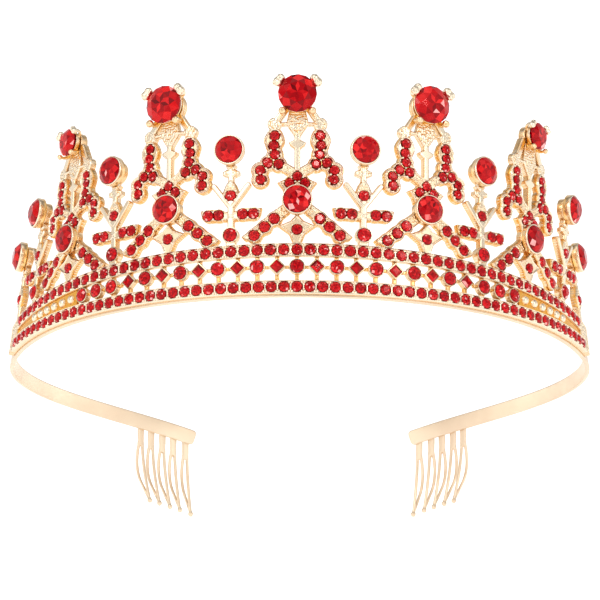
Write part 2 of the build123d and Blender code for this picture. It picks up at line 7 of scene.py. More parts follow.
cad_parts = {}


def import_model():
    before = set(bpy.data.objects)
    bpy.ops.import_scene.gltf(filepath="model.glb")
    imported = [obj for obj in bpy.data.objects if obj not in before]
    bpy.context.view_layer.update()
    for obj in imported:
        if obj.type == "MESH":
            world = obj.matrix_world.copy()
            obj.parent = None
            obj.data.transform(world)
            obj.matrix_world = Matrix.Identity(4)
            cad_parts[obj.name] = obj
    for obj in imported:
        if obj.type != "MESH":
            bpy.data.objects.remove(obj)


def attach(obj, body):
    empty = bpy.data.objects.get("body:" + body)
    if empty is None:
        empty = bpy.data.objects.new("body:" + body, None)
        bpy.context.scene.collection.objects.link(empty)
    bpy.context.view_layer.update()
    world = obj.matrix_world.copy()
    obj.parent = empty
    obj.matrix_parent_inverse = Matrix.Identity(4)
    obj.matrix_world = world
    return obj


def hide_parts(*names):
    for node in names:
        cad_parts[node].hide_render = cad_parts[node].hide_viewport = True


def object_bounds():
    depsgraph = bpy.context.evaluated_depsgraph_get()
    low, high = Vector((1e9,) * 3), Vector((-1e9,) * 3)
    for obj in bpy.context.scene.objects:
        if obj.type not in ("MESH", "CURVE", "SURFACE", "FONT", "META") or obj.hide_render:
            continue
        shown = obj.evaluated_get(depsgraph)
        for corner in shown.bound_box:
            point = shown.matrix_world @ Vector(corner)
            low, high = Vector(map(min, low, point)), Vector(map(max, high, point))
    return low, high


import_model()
CAD_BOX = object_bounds()

# A hair crown: castings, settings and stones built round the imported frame.  Lengths are in
# millimetres until a mesh is handed to Blender.  (u, v, w) are the distances along the strip
# from the front centre, up the cone from the strip's lower edge, and out from its face.
MM = 0.001
GRID = 0.125     # spacing of the samples over a casting
SETTING_VOXEL = 0.13
COMB_VOXEL = 0.12

# ---- headband ----
RIM_RADIUS = 74.3
CONE_ANGLE = radians(10.0)
LEAN_BACK = radians(4.5)
STRIP_WIDTH = 4.0
STRIP_THICK = 1.1
STRIP_EDGE = 0.35
STRIP_END_ROUND = 0.9
CONE_REACH = 104.0
ARM_END = np.array((30.1, 60.0, -40.9))
ARM_END_RUN = np.array((-0.92, 0.33, -0.35))
ARM_PULLS = (33.0, 22.0)
APEX = RIM_RADIUS / sin(CONE_ANGLE)

# ---- gallery ----
CAST_BACK = 0.03
EDGE_ROUND = 0.14
BACK_PAINTED_SHADE = 0.30             # painted shade on the backs: 0 leaves the pale gold, 1 is the deepest painted amber
# deeper painted shade at the back edges, which darkens the side walls towards the back
BACK_EDGE_PAINTED_SHADE = 0.62
RAIL_FRONT = 1.55
RAIL_FLOOR = 0.70            # bottom of the seats
RAIL_CORNER = 1.30           # metal left standing between the round seats and the rims
RAIL_WALL_TOP = 1.42
RAIL_WALL_HALF = 0.20
RAIL_LIP = 0.32
RAIL_ROUND = 0.16
LOWER_REACH = 99.3
UPPER_REACH = 95.3
GALLERY_REACH = 102.2
LOWER_ROW_V = 2.35
LOWER_RAIL_HALF = 1.72
LOWER_PITCH = 3.205
LOWER_SIDE_COUNT = 30
UPPER_ROW_V = 12.05
UPPER_RAIL_HALF = 1.75
UPPER_PITCH = 3.335
UPPER_SIDE_COUNT = 28
TAPER_DROP = 6.2
ROW_STONE_R = 1.36
LATTICE_PITCH = 5.0
LATTICE_SIDE_COUNT = 9
LATTICE_END_ROUNDS = (50.5, 55.7, 60.9)
LATTICE_CUP_R = 2.02
LATTICE_CUP_WALL = 0.30
LATTICE_SQUARE = 2.48
LATTICE_FRAME = 3.25
CUP_LIP_FRONT = 1.72
FRAME_FRONT = 1.66
CUP_FLOOR = 0.93
LINK_HALF = 0.42
UPRIGHT_HALF = 0.55
LINK_ROUND = 0.25
LINK_FRONT = 0.98            # uprights and links between the settings
END_BEADS = (65.6, 69.3, 72.9, 76.4, 79.8, 83.1)
END_BEAD_R = 1.2
END_BAR_START = 63.4

# ---- spires and posts ----
MOTIF_PITCH = 16.85
END_POST_U = 97.6
END_POST_DROP = 7.4
SPIRE_SPLAY = 4.2
POST_SPLAY = 8.0
CAST_FRONT = 1.50
MOTIF_BACK = -0.50
FILLET = 0.30                # softening where rimmed shapes meet
RIM_INSET = 0.45             # middle of the raised rim, inside the outline
RIM_HALF = 0.20
SHELF_FRONT = 1.02           # low ledge outside the raised rims
FLOOR_FRONT = 1.24           # plain or grained metal inside the rims
FIELD_FRONT = 1.10           # floor the small stones stand in
STONE_SEAT = 0.55            # bottom of the seats
CHIP_R = 1.21
LARGE_CHIP_R = 1.36
BLOB_R = 2.02
ARM_BLOB_R = 2.15
FIELD_R = 1.42
PRONG_R = 0.33
PRONG_REACH = 0.30           # a prong's middle from the edge of its stone
PRONG_CLEAR = 0.16           # least distance from any other stone's edge
PRONG_SPACING = 0.5
PRONG_OFF_LINE = 0.75        # least distance from the line through a chain's stones
END_PRONG_TURN = 0.85        # prongs past a chain's last stone, in radians from its line
PRONG_BASE = 1.34            # height where a prong's dome begins
PLAIN_FRONT = 1.36           # plain bars and discs
PLAIN_ROUND = 0.42
PANEL_FRONT = 1.22           # granulated panels, below their grains
PANEL_ROUND = 0.30
GRAIN_SIZE = 0.62
INSIDE = -1e-3               # distance from which a point counts as inside a shape
LEAST_FRONT = 0.45           # every casting keeps this much metal in front
MID_STONE_R = 3.5
TOP_STONE_R = 5.0
SIDE_TOP_STONE_R = 3.6
BALL_STONE_R = 3.5
BASE_STONE_R = 1.75          # round stone at the foot of a post
BASE_CUP_WALL = 0.36
BASE_CUP_FLOOR = 0.84
DRUM_WALL = 0.45
STONE_SIT = 0.57             # back of a small stone
CHIP_GIRDLE = 1.25
STONE_SHIFT = 0.08           # how far one stone's depth of red differs from the next one's
FACET_SPREAD = 0.22          # random spread of the painted facet reflections between the facets of a stone
PAINTED_GLINT_SHARE = 0.035          # share of the facets that get a painted glint
# how far a painted glint pushes a facet up towards the glint colour
PAINTED_GLINT_GAIN = 0.5
GAP = 0.05

# ---- drawing of a spire and of a post: x from its middle, and v before its taper ----
ARM_STONES = ((5.7, 42.05), (5.9, 39.55), (5.65, 37.08), (4.75, 34.6))
CURL_STONES = ((5.65, 37.08), (7.4, 34.95), (9.3, 33.1), (9.2, 30.6))
LEG_STONES = ((5.7, 20.25), (8.15, 18.1), (10.75, 15.9))
CREST_STONES = ((-1.95, 29.6), (0, 31.3), (1.95, 29.6))
KITE_STONE = (0, 17.35)
MID_STONE = (0, 24.9)
TOP_STONE = (0, 52.4)
BULB = (5.8, 45.15)
PIVOT = 24.9                 # a spire's height shrinks above this
POST_FOOT = 13.9             # and a post's from this
BALL_V = 38.55
BASE_STONE_V = 16.45
UPPER_CLAW = (4.9, 3.4)      # claws, from the middle of a large setting
LOWER_CLAW = (3.8, -4.6)
# Balls on an upper claw: their place along its x and y, and their radius.
UPPER_LUMPS = ((1.06, 0.84, 1.15), (0.88, 1.16, 1.05), (1.0, 1.02, 0.9))
LOWER_BALL = 0.95
WALL_SEGMENTS = 48
LATHE_SEGMENTS = 72

# ---- combs ----
COMB_TEETH = 5
BOWED_WIRE = ((0.52, -3.3, 0.45), (0.75, -6.0, 0.9), (0.80, -9.0, 1.1), (0.62, -12.5, 0.5),
              (0.30, -15.5, -1.2), (0.03, -18.6, -3.3))
STRAIGHT_WIRE = ((-0.50, -3.3, 0.45), (-0.45, -6.0, 0.2), (-0.38, -9.0, -0.3), (-0.28, -12.5, -1.2),
                 (-0.12, -15.5, -2.3), (0, -18.6, -3.6))
WIRE_WIDTHS = (0.98, 0.95, 0.95, 0.92, 0.88, 0.8)
WIRE_THICKS = (0.70, 0.66, 0.64, 0.62, 0.62, 0.60)
TAB_PATH = ((0, 1.3, 0.46), (0, -0.5, 0.46), (0, -2.4, 0.45), (0, -4.3, 0.44))
TOOTH_PITCH = 3.65
TIP_DROP = 19.0
TAB_WIDTH = 2.1


# ======== the frame's own curves ========
def leaned(vectors, is_point=False):
    """Tip vectors, or points, back about the strip's front as the crown is worn."""
    out = np.array(vectors, float)
    shift = RIM_RADIUS if is_point else 0.0
    y = out[..., 1] + shift
    z = out[..., 2].copy()
    out[..., 1] = y * cos(LEAN_BACK) + z * sin(LEAN_BACK) - shift
    out[..., 2] = z * cos(LEAN_BACK) - y * sin(LEAN_BACK)
    return out


def cone_frame(u, v):
    """Place on the cone with its along, up and out directions, each an array of vectors."""
    u, v = np.broadcast_arrays(np.asarray(u, float), np.asarray(v, float))
    slant = np.hypot(u, APEX - v)
    fan = np.arctan2(u, APEX - v)
    turn = fan / sin(CONE_ANGLE)
    zero = np.zeros_like(turn)
    out = np.stack((cos(CONE_ANGLE) * np.sin(turn), -cos(CONE_ANGLE) * np.cos(turn),
                    zero + sin(CONE_ANGLE)), -1)
    down = np.stack((sin(CONE_ANGLE) * np.sin(turn), -sin(CONE_ANGLE) * np.cos(turn),
                     zero - cos(CONE_ANGLE)), -1)
    across = np.stack((np.cos(turn), np.sin(turn), zero), -1)
    place = down * slant[..., None] + np.array((0, 0, APEX * cos(CONE_ANGLE)))
    along = across * np.cos(fan)[..., None] + down * np.sin(fan)[..., None]
    up = np.cross(out, along)
    return leaned(place, True), leaned(along), leaned(up), leaned(out)


def on_cone(u, v, w):
    place, _, _, out = cone_frame(u, v)
    return place + out * np.asarray(w, float)[..., None]


def on_tangent(u, v, local):
    """Local x, y, w points of a piece that stands square on the cone at (u, v)."""
    place, along, up, out = cone_frame(u, v)
    local = np.asarray(local, float)
    return place + local[:, :1] * along + local[:, 1:2] * up + local[:, 2:3] * out


def taper(u):
    """How much lower the front has become at a distance along it."""
    return TAPER_DROP * (np.asarray(u) / 110.0) ** 2


def upper_row(u):
    return UPPER_ROW_V - taper(u)


def lower_row(u):
    return np.full(np.shape(u), LOWER_ROW_V)


def lattice_gap(u):
    """Lower and upper edge of the space between the two rails."""
    return lower_row(u) + LOWER_RAIL_HALF, upper_row(u) - UPPER_RAIL_HALF


def lattice_row(u):
    low, high = lattice_gap(u)
    return low + np.where(np.abs(u) < 47, 0.57, 0.50) * (high - low)


def cup_radius(u):
    low, high = lattice_gap(u)
    middle = lattice_row(u)
    return min(LATTICE_CUP_R, middle - low - GAP, high - middle - GAP)


def unit(vector):
    return vector / np.linalg.norm(vector)


def splayed(points, u0, angle):
    """Bend a motif's points outward, in degrees, about the top of the rail under it."""
    place, _, up, out = cone_frame(u0, upper_row(u0) + UPPER_RAIL_HALF)
    arm = points - (place + out * CAST_FRONT)
    rise, reach = arm @ up, arm @ out
    c, s = cos(radians(angle)), sin(radians(angle))
    upward = rise * (c - 1) - reach * s
    outward = rise * s + reach * (c - 1)
    return points + np.outer(upward, up) + np.outer(outward, out)


def arm_frame(t, side):
    """Place, run, up and out on the free arm behind the cone, t from 0 to 1."""
    first, along, _, out = (np.array(a) for a in cone_frame(CONE_REACH, 0.0))
    a = first + along * ARM_PULLS[0]
    b = ARM_END - unit(ARM_END_RUN) * ARM_PULLS[1]
    s = 1 - t
    place = first * s**3 + a * 3 * s * s * t + b * 3 * s * t * t + ARM_END * t**3
    run = unit((a - first) * s * s + (b - a) * 2 * s * t + (ARM_END - b) * t * t)
    start_level = unit(np.array((along[1], -along[0], 0)))
    start_up = np.cross(start_level, along)
    lean = np.arctan2(out @ start_up, out @ start_level) * (1 - t * t * (3 - 2 * t))
    level = unit(np.array((run[1], -run[0], 0)))
    facing = level * cos(lean) + np.cross(level, run) * sin(lean)
    if side < 0:
        place = place * (-1, 1, 1)
        run = run * (1, -1, -1)
        facing = facing * (-1, 1, 1)
    return place, run, np.cross(facing, run), facing


def arm_share(distance):
    """Arm parameter at a distance along the strip from its end."""
    t = 1.0
    gone = 0.0
    last = arm_frame(t, 1)[0]
    while gone < distance:
        t -= 0.004
        here = arm_frame(t, 1)[0]
        gone += np.linalg.norm(here - last)
        last = here
    return t


# ======== mesh tools ========
def merged(parts):
    """One (points, faces) pair from several."""
    points, faces, base = [], [], 0
    for part_points, part_faces in parts:
        points.append(np.asarray(part_points, float))
        faces.extend([[i + base for i in face] for face in part_faces])
        base += len(part_points)
    return np.concatenate(points), faces


def piece(name, points, faces, slot, sharp=38.0, painted_vertex_shade=None, face_red_and_painted_light=None):
    """Blender object that stands for one node of the frame and rides with it."""
    mesh = bpy.data.meshes.new("fine." + name)
    mesh.from_pydata((np.asarray(points) * MM).tolist(), [], faces)
    mesh.materials.append(LOOKS[slot])
    if painted_vertex_shade is not None:
        mesh.attributes.new("painted_shade", "FLOAT", "POINT").data.foreach_set(
            "value", np.asarray(painted_vertex_shade, np.float32))
    if face_red_and_painted_light is not None:
        mesh.attributes.new("red_and_painted_light", "FLOAT", "FACE").data.foreach_set(
            "value", np.asarray(face_red_and_painted_light, np.float32))
    if sharp is None:
        mesh.shade_flat()
    else:
        mesh.shade_smooth()
        mesh.set_sharp_from_angle(angle=radians(sharp))
    mesh.update()
    obj = bpy.data.objects.new("fine." + name, mesh)
    bpy.context.scene.collection.objects.link(obj)
    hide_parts(name)
    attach(obj, "root")


def fused(points, faces, voxel, smoothing):
    """Overlapping solids run together into one skin, softened where they meet."""
    mesh = bpy.data.meshes.new("fuse")
    mesh.from_pydata(np.asarray(points).tolist(), [], faces)
    obj = bpy.data.objects.new("fuse", mesh)
    bpy.context.scene.collection.objects.link(obj)
    remesh = obj.modifiers.new("skin", "REMESH")
    remesh.mode = "VOXEL"
    remesh.voxel_size = voxel
    soft = obj.modifiers.new("soft", "SMOOTH")
    soft.factor = 0.5
    soft.iterations = smoothing
    graph = bpy.context.evaluated_depsgraph_get()
    done = bpy.data.meshes.new_from_object(obj.evaluated_get(graph))
    co = np.zeros(len(done.vertices) * 3, np.float32)
    done.vertices.foreach_get("co", co)
    skin = [tuple(polygon.vertices) for polygon in done.polygons]
    bpy.data.objects.remove(obj)
    bpy.data.meshes.remove(mesh)
    bpy.data.meshes.remove(done)
    return co.reshape(-1, 3).astype(float), skin


def quads(a, b, count):
    """Faces between two rings whose points start at a and b."""
    return [(a + i, a + (i + 1) % count, b + (i + 1) % count, b + i) for i in range(count)]


def skinned(rings):
    """Closed solid through rings of points, with a flat cap at each end."""
    count = len(rings[0])
    faces = []
    for k in range(len(rings) - 1):
        faces += quads(k * count, (k + 1) * count, count)
    faces.append(tuple(range(count))[::-1])
    faces.append(tuple(range((len(rings) - 1) * count, len(rings) * count)))
    return np.concatenate(rings), faces


def swept(stations):
    """Closed sweep through (centre, side, top, outline) stations: outline points (a, b) lie along
    a station's side and top directions."""
    return skinned([c + o[:, :1] * s + o[:, 1:2] * t for c, s, t, o in stations])


def oval(width, thick, count):
    """Outline of a soft-cornered oval."""
    power = 2.6
    angle = np.arange(count) * 2 * pi / count
    c, s = np.cos(angle), np.sin(angle)
    return np.stack((np.sign(c) * np.abs(c) ** (2 / power) * width / 2,
                     np.sign(s) * np.abs(s) ** (2 / power) * thick / 2), -1)


def tube(path, widths, thicks, side, steps, count=16):
    """Tapered bar of oval section along a smooth curve through the path's points."""
    path = np.asarray(path, float)
    knots = np.concatenate(([0], np.cumsum(np.linalg.norm(np.diff(path, axis=0), axis=1))))
    slopes = np.gradient(path, knots, axis=0)
    at = np.linspace(0, knots[-1], steps)
    centres = []
    for s in at:
        k = min(np.searchsorted(knots, s, "right") - 1, len(knots) - 2)
        span = knots[k + 1] - knots[k]
        t = (s - knots[k]) / span
        centres.append(path[k] * (2 * t**3 - 3 * t * t + 1) + slopes[k] * span * (t**3 - 2 * t * t + t)
                       + path[k + 1] * (3 * t * t - 2 * t**3) + slopes[k + 1] * span * (t**3 - t * t))
    centres = np.array(centres)
    runs = np.gradient(centres, axis=0)
    stations = []
    for centre, s, run in zip(centres, at, runs):
        run = unit(run)
        across = unit(side - run * (side @ run))
        section = oval(np.interp(s, knots, widths), np.interp(s, knots, thicks), count)
        stations.append((centre, across, np.cross(run, across), section))
    return swept(stations)


def ball(centre, radius, rings, lumps, seed):
    """Knobbly round bead."""
    points = [(0.0, 0.0, -1.0)]
    for k in range(1, rings):
        polar = pi * k / rings
        for i in range(2 * rings):
            turn = pi * i / rings
            points.append((sin(polar) * cos(turn), sin(polar) * sin(turn), -cos(polar)))
    points.append((0.0, 0.0, 1.0))
    points = np.array(points)
    swell = granules(points[:, 0] + 0.7 * points[:, 2], points[:, 1] - 0.5 * points[:, 2], 0.7, seed)
    points *= 1 + lumps * (swell[:, None] - 0.5)
    span = 2 * rings
    faces = [(0, 1 + (i + 1) % span, 1 + i) for i in range(span)]
    for k in range(rings - 2):
        faces += quads(1 + k * span, 1 + (k + 1) * span, span)
    last = 1 + (rings - 2) * span
    faces += [(last + i, last + (i + 1) % span, len(points) - 1) for i in range(span)]
    return points * radius + np.asarray(centre, float), faces


def lathe(profile):
    """Turned solid through (radius, w) profile points."""
    turn = np.arange(LATHE_SEGMENTS) * 2 * pi / LATHE_SEGMENTS
    return skinned([np.stack((radius * np.cos(turn), radius * np.sin(turn), np.full(LATHE_SEGMENTS, w)), -1)
                    for radius, w in profile])


# ======== flat drawing tools: distances are positive inside ========
def disc(x, y, centre, radius):
    return radius - np.hypot(x - centre[0], y - centre[1])


def bar(x, y, start, finish, width):
    """Distance inside a straight bar with round ends."""
    ax, ay = start
    bx, by = finish[0] - ax, finish[1] - ay
    t = np.clip(((x - ax) * bx + (y - ay) * by) / (bx * bx + by * by), 0, 1)
    return width / 2 - np.hypot(x - ax - t * bx, y - ay - t * by)


def outline(x, y, corners):
    """Distance inside a polygon."""
    best = np.full(x.shape, 1e9)
    inside = np.zeros(x.shape, bool)
    for (ax, ay), (bx, by) in zip(corners, corners[1:] + corners[:1]):
        best = np.minimum(best, -bar(x, y, (ax, ay), (bx, by), 0.0))
        if ay != by:
            crosses = (ay > y) != (by > y)
            inside ^= crosses & (x < (bx - ax) * (y - ay) / (by - ay) + ax)
    return np.where(inside, best, -best)


def dot(centre, radius):
    return lambda x, y: disc(x, y, centre, radius)


def rib(start, finish, width):
    return lambda x, y: bar(x, y, start, finish, width)


def patch(corners):
    return lambda x, y: outline(x, y, corners)


def symmetric(at, *half):
    """Shape that is the same left and right, from its right half read downward."""
    return patch([at(x, v) for x, v in half] + [at(-x, v) for x, v in half[::-1] if x > 0])


def joined(fields, soft=0.0):
    """Union of distance fields, with small fillets where soft is above zero."""
    total = fields[0]
    for other in fields[1:]:
        if soft:
            share = np.clip(0.5 + 0.5 * (other - total) / soft, 0, 1)
            total = total * (1 - share) + other * share + soft * share * (1 - share)
        else:
            total = np.maximum(total, other)
    return total


def step(a, b, value):
    """Smooth rise from 0 at a to 1 at b."""
    t = np.clip((value - a) / (b - a), 0, 1)
    return t * t * (3 - 2 * t)


def scatter(a, b, seed):
    """Repeatable value between 0 and 1 for a pair of whole numbers."""
    return np.modf(np.abs(np.sin(a * 12.9898 + b * 78.233 + seed * 37.719) * 43758.5453))[0]


def granules(x, y, size, seed):
    """Packed little domes, 0 to 1, as on a nugget casting."""
    gx, gy = np.asarray(x) / size, np.asarray(y) / size
    nearest = np.full(np.shape(gx), 9.0)
    for dx in (-1, 0, 1):
        for dy in (-1, 0, 1):
            cx, cy = np.floor(gx) + dx, np.floor(gy) + dy
            px = cx + 0.5 + 0.7 * (scatter(cx, cy, seed) - 0.5)
            py = cy + 0.5 + 0.7 * (scatter(cx, cy, seed + 1) - 0.5)
            nearest = np.minimum(nearest, np.hypot(gx - px, gy - py))
    return np.sqrt(np.clip(1 - (nearest / 0.66) ** 2, 0, 1))


def rounded(depth, radius):
    """Drop below the top of a rounded edge at a depth inside the outline."""
    t = np.clip(1 - depth / radius, 0, 1)
    return radius * (1 - np.sqrt(1 - t * t))


class Sampling:
    """A sheet of sample points over a drawing, and the plate that marching squares makes of it."""

    def __init__(self, x_range, y_range):
        xs = np.arange(x_range[0], x_range[1] + GRID, GRID)
        ys = np.arange(y_range[0], y_range[1] + GRID, GRID)
        self.x, self.y = np.meshgrid(xs, ys)

    def trace(self, inside):
        """Corner mask, crossing masks and crossing positions of the zero line."""
        # Values close to the line are pushed off it, which spares the mesh its slivers.
        least = 0.15 * GRID
        d = np.where(np.abs(inside) < least, np.where(inside < 0, -least, least), inside)
        solid = d > 0
        flat = solid[:, :-1] != solid[:, 1:]
        tall = solid[:-1] != solid[1:]
        with np.errstate(divide="ignore", invalid="ignore"):
            along = d[:, :-1] / (d[:, :-1] - d[:, 1:])
            across = d[:-1] / (d[:-1] - d[1:])
        flat_x = (self.x[:, :-1] + along * GRID)[flat]
        flat_y = self.y[:, :-1][flat]
        tall_x = self.x[:-1][tall]
        tall_y = (self.y[:-1] + across * GRID)[tall]
        return solid, flat, tall, np.concatenate((flat_x, tall_x)), np.concatenate((flat_y, tall_y))

    def depth(self, inside, x, y):
        """True distance from points to the zero line of a sampled field."""
        _, _, _, ex, ey = self.trace(inside)
        nearest = np.empty(len(x), np.float32)
        ex, ey = ex.astype(np.float32), ey.astype(np.float32)
        for k in range(0, len(x), 2000):
            dx = x[k:k + 2000, None].astype(np.float32) - ex
            dy = y[k:k + 2000, None].astype(np.float32) - ey
            nearest[k:k + 2000] = np.sqrt((dx * dx + dy * dy).min(1))
        return nearest.astype(float)

    def plate(self, inside, front, back):
        """Points (x, y, w), faces and painted shade of a closed flat-backed plate; front(x, y) gives w and
        painted shade.
        """
        solid, flat, tall, edge_x, edge_y = self.trace(inside)
        ids = np.full(solid.shape, -1)
        ids[solid] = np.arange(solid.sum())
        corners = int(solid.sum())
        flat_ids = np.full(flat.shape, -1)
        flat_ids[flat] = corners + np.arange(flat.sum())
        tall_ids = np.full(tall.shape, -1)
        tall_ids[tall] = corners + int(flat.sum()) + np.arange(tall.sum())
        x = np.concatenate((self.x[solid], edge_x))
        y = np.concatenate((self.y[solid], edge_y))
        w, painted_shade = front(x, y)
        cell = np.stack((ids[:-1, :-1], ids[:-1, 1:], ids[1:, 1:], ids[1:, :-1],
                         flat_ids[:-1], tall_ids[:, 1:], flat_ids[1:], tall_ids[:, :-1]), -1).reshape(-1, 8)
        case = ((cell[:, :4] >= 0) * (1, 2, 4, 8)).sum(1)
        total = len(x)
        faces = []
        for kind in range(1, 16):
            rows = cell[case == kind]
            if not len(rows):
                continue
            order = []
            for k in range(4):
                here, after = kind >> k & 1, kind >> (k + 1) % 4 & 1
                if here:
                    order.append(k)
                if here != after:
                    order.append(4 + k)
            ring = rows[:, order]
            faces += ring.tolist()
            faces += (ring[:, ::-1] + total).tolist()
            for a, b in zip(order, order[1:] + order[:1]):
                if a > 3 and b > 3:
                    pair = rows[:, [b, a]]
                    faces += np.concatenate((pair, pair[:, ::-1] + total), 1).tolist()
        points = np.concatenate((np.stack((x, y, w), -1), np.stack((x, y, np.full(total, back)), -1)))
        # painted shade on the backs, deeper on the back edges of the side walls
        back_painted_shade = np.full(total, BACK_PAINTED_SHADE)
        back_painted_shade[corners:] = BACK_EDGE_PAINTED_SHADE
        return points, faces, np.concatenate((painted_shade, back_painted_shade))


# ======== materials ========
def shader(name):
    material = bpy.data.materials.new(name)
    material.use_nodes = True
    tree = material.node_tree
    return material, tree, tree.nodes["Principled BSDF"]


def node(tree, kind, **values):
    """Shader node with its inputs, or else its settings, given by name."""
    made = tree.nodes.new(kind)
    for key, value in values.items():
        if key in made.inputs:
            made.inputs[key].default_value = value
        else:
            setattr(made, key, value)
    return made


def ramp(tree, source, stops):
    """Colour output for a source between 0 and 1, from (position, colour) stops."""
    made = tree.nodes.new("ShaderNodeValToRGB")
    elements = made.color_ramp.elements
    while len(elements) < len(stops):
        elements.new(0.5)
    for element, (position, colour) in zip(elements, stops):
        element.position = position
        element.color = (*colour, 1)
    tree.links.new(source, made.inputs["Fac"])
    return made.outputs["Color"]


def maths(tree, operation, first, second, third=None):
    """Maths node; each entry is an output socket or a number."""
    made = node(tree, "ShaderNodeMath", operation=operation)
    for socket, value in zip(made.inputs, (first, second, third)):
        if isinstance(value, float):
            socket.default_value = value
        elif value is not None:
            tree.links.new(value, socket)
    return made.outputs[0]


def noise(tree, place, scale, detail, rough=0.5):
    made = node(tree, "ShaderNodeTexNoise", Scale=scale, Detail=detail, Roughness=rough)
    tree.links.new(place, made.inputs["Vector"])
    return made.outputs["Fac"]


def object_place(tree):
    return tree.nodes.new("ShaderNodeTexCoord").outputs["Object"]


def ranged(tree, source, values, **settings):
    """Map Range node; values holds the limits to change, by socket name."""
    made = node(tree, "ShaderNodeMapRange", **settings)
    for key, value in values.items():
        made.inputs[key].default_value = value
    tree.links.new(source, made.inputs["Value"])
    return made.outputs["Result"]


def bumped(tree, shell, height, strength, distance):
    made = node(tree, "ShaderNodeBump", Strength=strength, Distance=distance)
    tree.links.new(height, made.inputs["Height"])
    tree.links.new(made.outputs["Normal"], shell.inputs["Normal"])


def plated_metal(name, pale, painted_shade_amber, roughness, grain, wear):
    """Plated casting: pale gold on the raised rims, painted amber shade deepening in the recesses, low places
    and undersides, varied at random by noise; finely pitted.
    """
    material, tree, shell = shader(name)
    place = object_place(tree)
    painted_shade = node(tree, "ShaderNodeAttribute", attribute_name="painted_shade").outputs["Fac"]
    cloud = noise(tree, place, 420.0, 4.0, 0.6)
    # painted shade: the per-point attribute sets how deep the amber is, with random cloud variation on top
    mixed = maths(tree, "MULTIPLY_ADD", cloud, 0.55, maths(tree, "SUBTRACT", painted_shade, 0.28))
    between = tuple((2 * p + d) / 3 for p, d in zip(pale, painted_shade_amber))
    colour = ramp(tree, mixed, ((0.05, pale), (0.45, between), (0.95, painted_shade_amber)))
    tree.links.new(colour, shell.inputs["Base Color"])
    shell.inputs["Metallic"].default_value = 1.0
    scratches = noise(tree, place, 2600.0, 3.0, 0.7)
    rough = ranged(tree, scratches, {"From Min": 0.3, "From Max": 0.7,
                                     "To Min": roughness, "To Max": roughness + wear})
    tree.links.new(rough, shell.inputs["Roughness"])
    bumped(tree, shell, cloud, grain, 0.00006)
    return material


def strip_metal():
    """Satin spring strip: warm champagne with a fine brushed grain."""
    material, tree, shell = shader("strip_satin")
    place = object_place(tree)
    stretch = node(tree, "ShaderNodeMapping", Scale=(260.0, 260.0, 5200.0))
    tree.links.new(place, stretch.inputs["Vector"])
    brushed = noise(tree, stretch.outputs["Vector"], 1.0, 3.0, 0.65)
    cloud = noise(tree, place, 70.0, 3.0)
    colour = ramp(tree, cloud, ((0.30, (0.80, 0.62, 0.45)), (0.70, (0.87, 0.72, 0.53))))
    tree.links.new(colour, shell.inputs["Base Color"])
    shell.inputs["Metallic"].default_value = 1.0
    rough = ranged(tree, brushed, {"To Min": 0.26, "To Max": 0.44})
    tree.links.new(rough, shell.inputs["Roughness"])
    bumped(tree, shell, brushed, 0.12, 0.00003)
    return material


def cut_glass(name, dark_reflection, body, bright_reflection):
    """Foil-backed red glass, drawn opaque: each facet carries its own depth of red, a painted reflection of
    the foil from near black to bright red, and a few facets a painted pinkish glint.
    """
    material, tree, shell = shader(name)
    red_and_painted_light = node(tree, "ShaderNodeAttribute", attribute_name="red_and_painted_light").outputs["Fac"]
    haze = noise(tree, object_place(tree), 900.0, 2.0)
    varied = maths(tree, "MULTIPLY_ADD", haze, 0.22, maths(tree, "SUBTRACT", red_and_painted_light, 0.11))
    # painted glint: the pinkish-white top of the ramp
    glint = (1.0, 0.45, 0.42)
    colour = ramp(tree, varied, ((0.0, dark_reflection), (0.5, body), (0.85, bright_reflection), (1.0, glint)))
    tree.links.new(colour, shell.inputs["Base Color"])
    shell.inputs["Roughness"].default_value = 0.05
    shell.inputs["IOR"].default_value = 1.52
    shell.inputs["Specular Tint"].default_value = (1.0, 0.30, 0.28, 1)
    return material


LOOKS = {
    "cast_gold": plated_metal("cast_pale_gold", pale=(0.885, 0.755, 0.575), painted_shade_amber=(0.84, 0.42, 0.07),
                              roughness=0.22, grain=0.35, wear=0.12),
    "setting_gold": plated_metal("setting_gold", pale=(0.885, 0.75, 0.57), painted_shade_amber=(0.90, 0.47, 0.07),
                                 roughness=0.18, grain=0.22, wear=0.12),
    "strip_metal": strip_metal(),
    "red_stone": cut_glass("red_cut_glass", dark_reflection=(0.07, 0.0, 0.002), body=(0.43, 0.0, 0.004),
                           bright_reflection=(0.84, 0.02, 0.02)),
    "red_chip": cut_glass("red_chip_glass", dark_reflection=(0.07, 0.0, 0.002), body=(0.41, 0.0, 0.004),
                          bright_reflection=(0.78, 0.015, 0.018)),
}


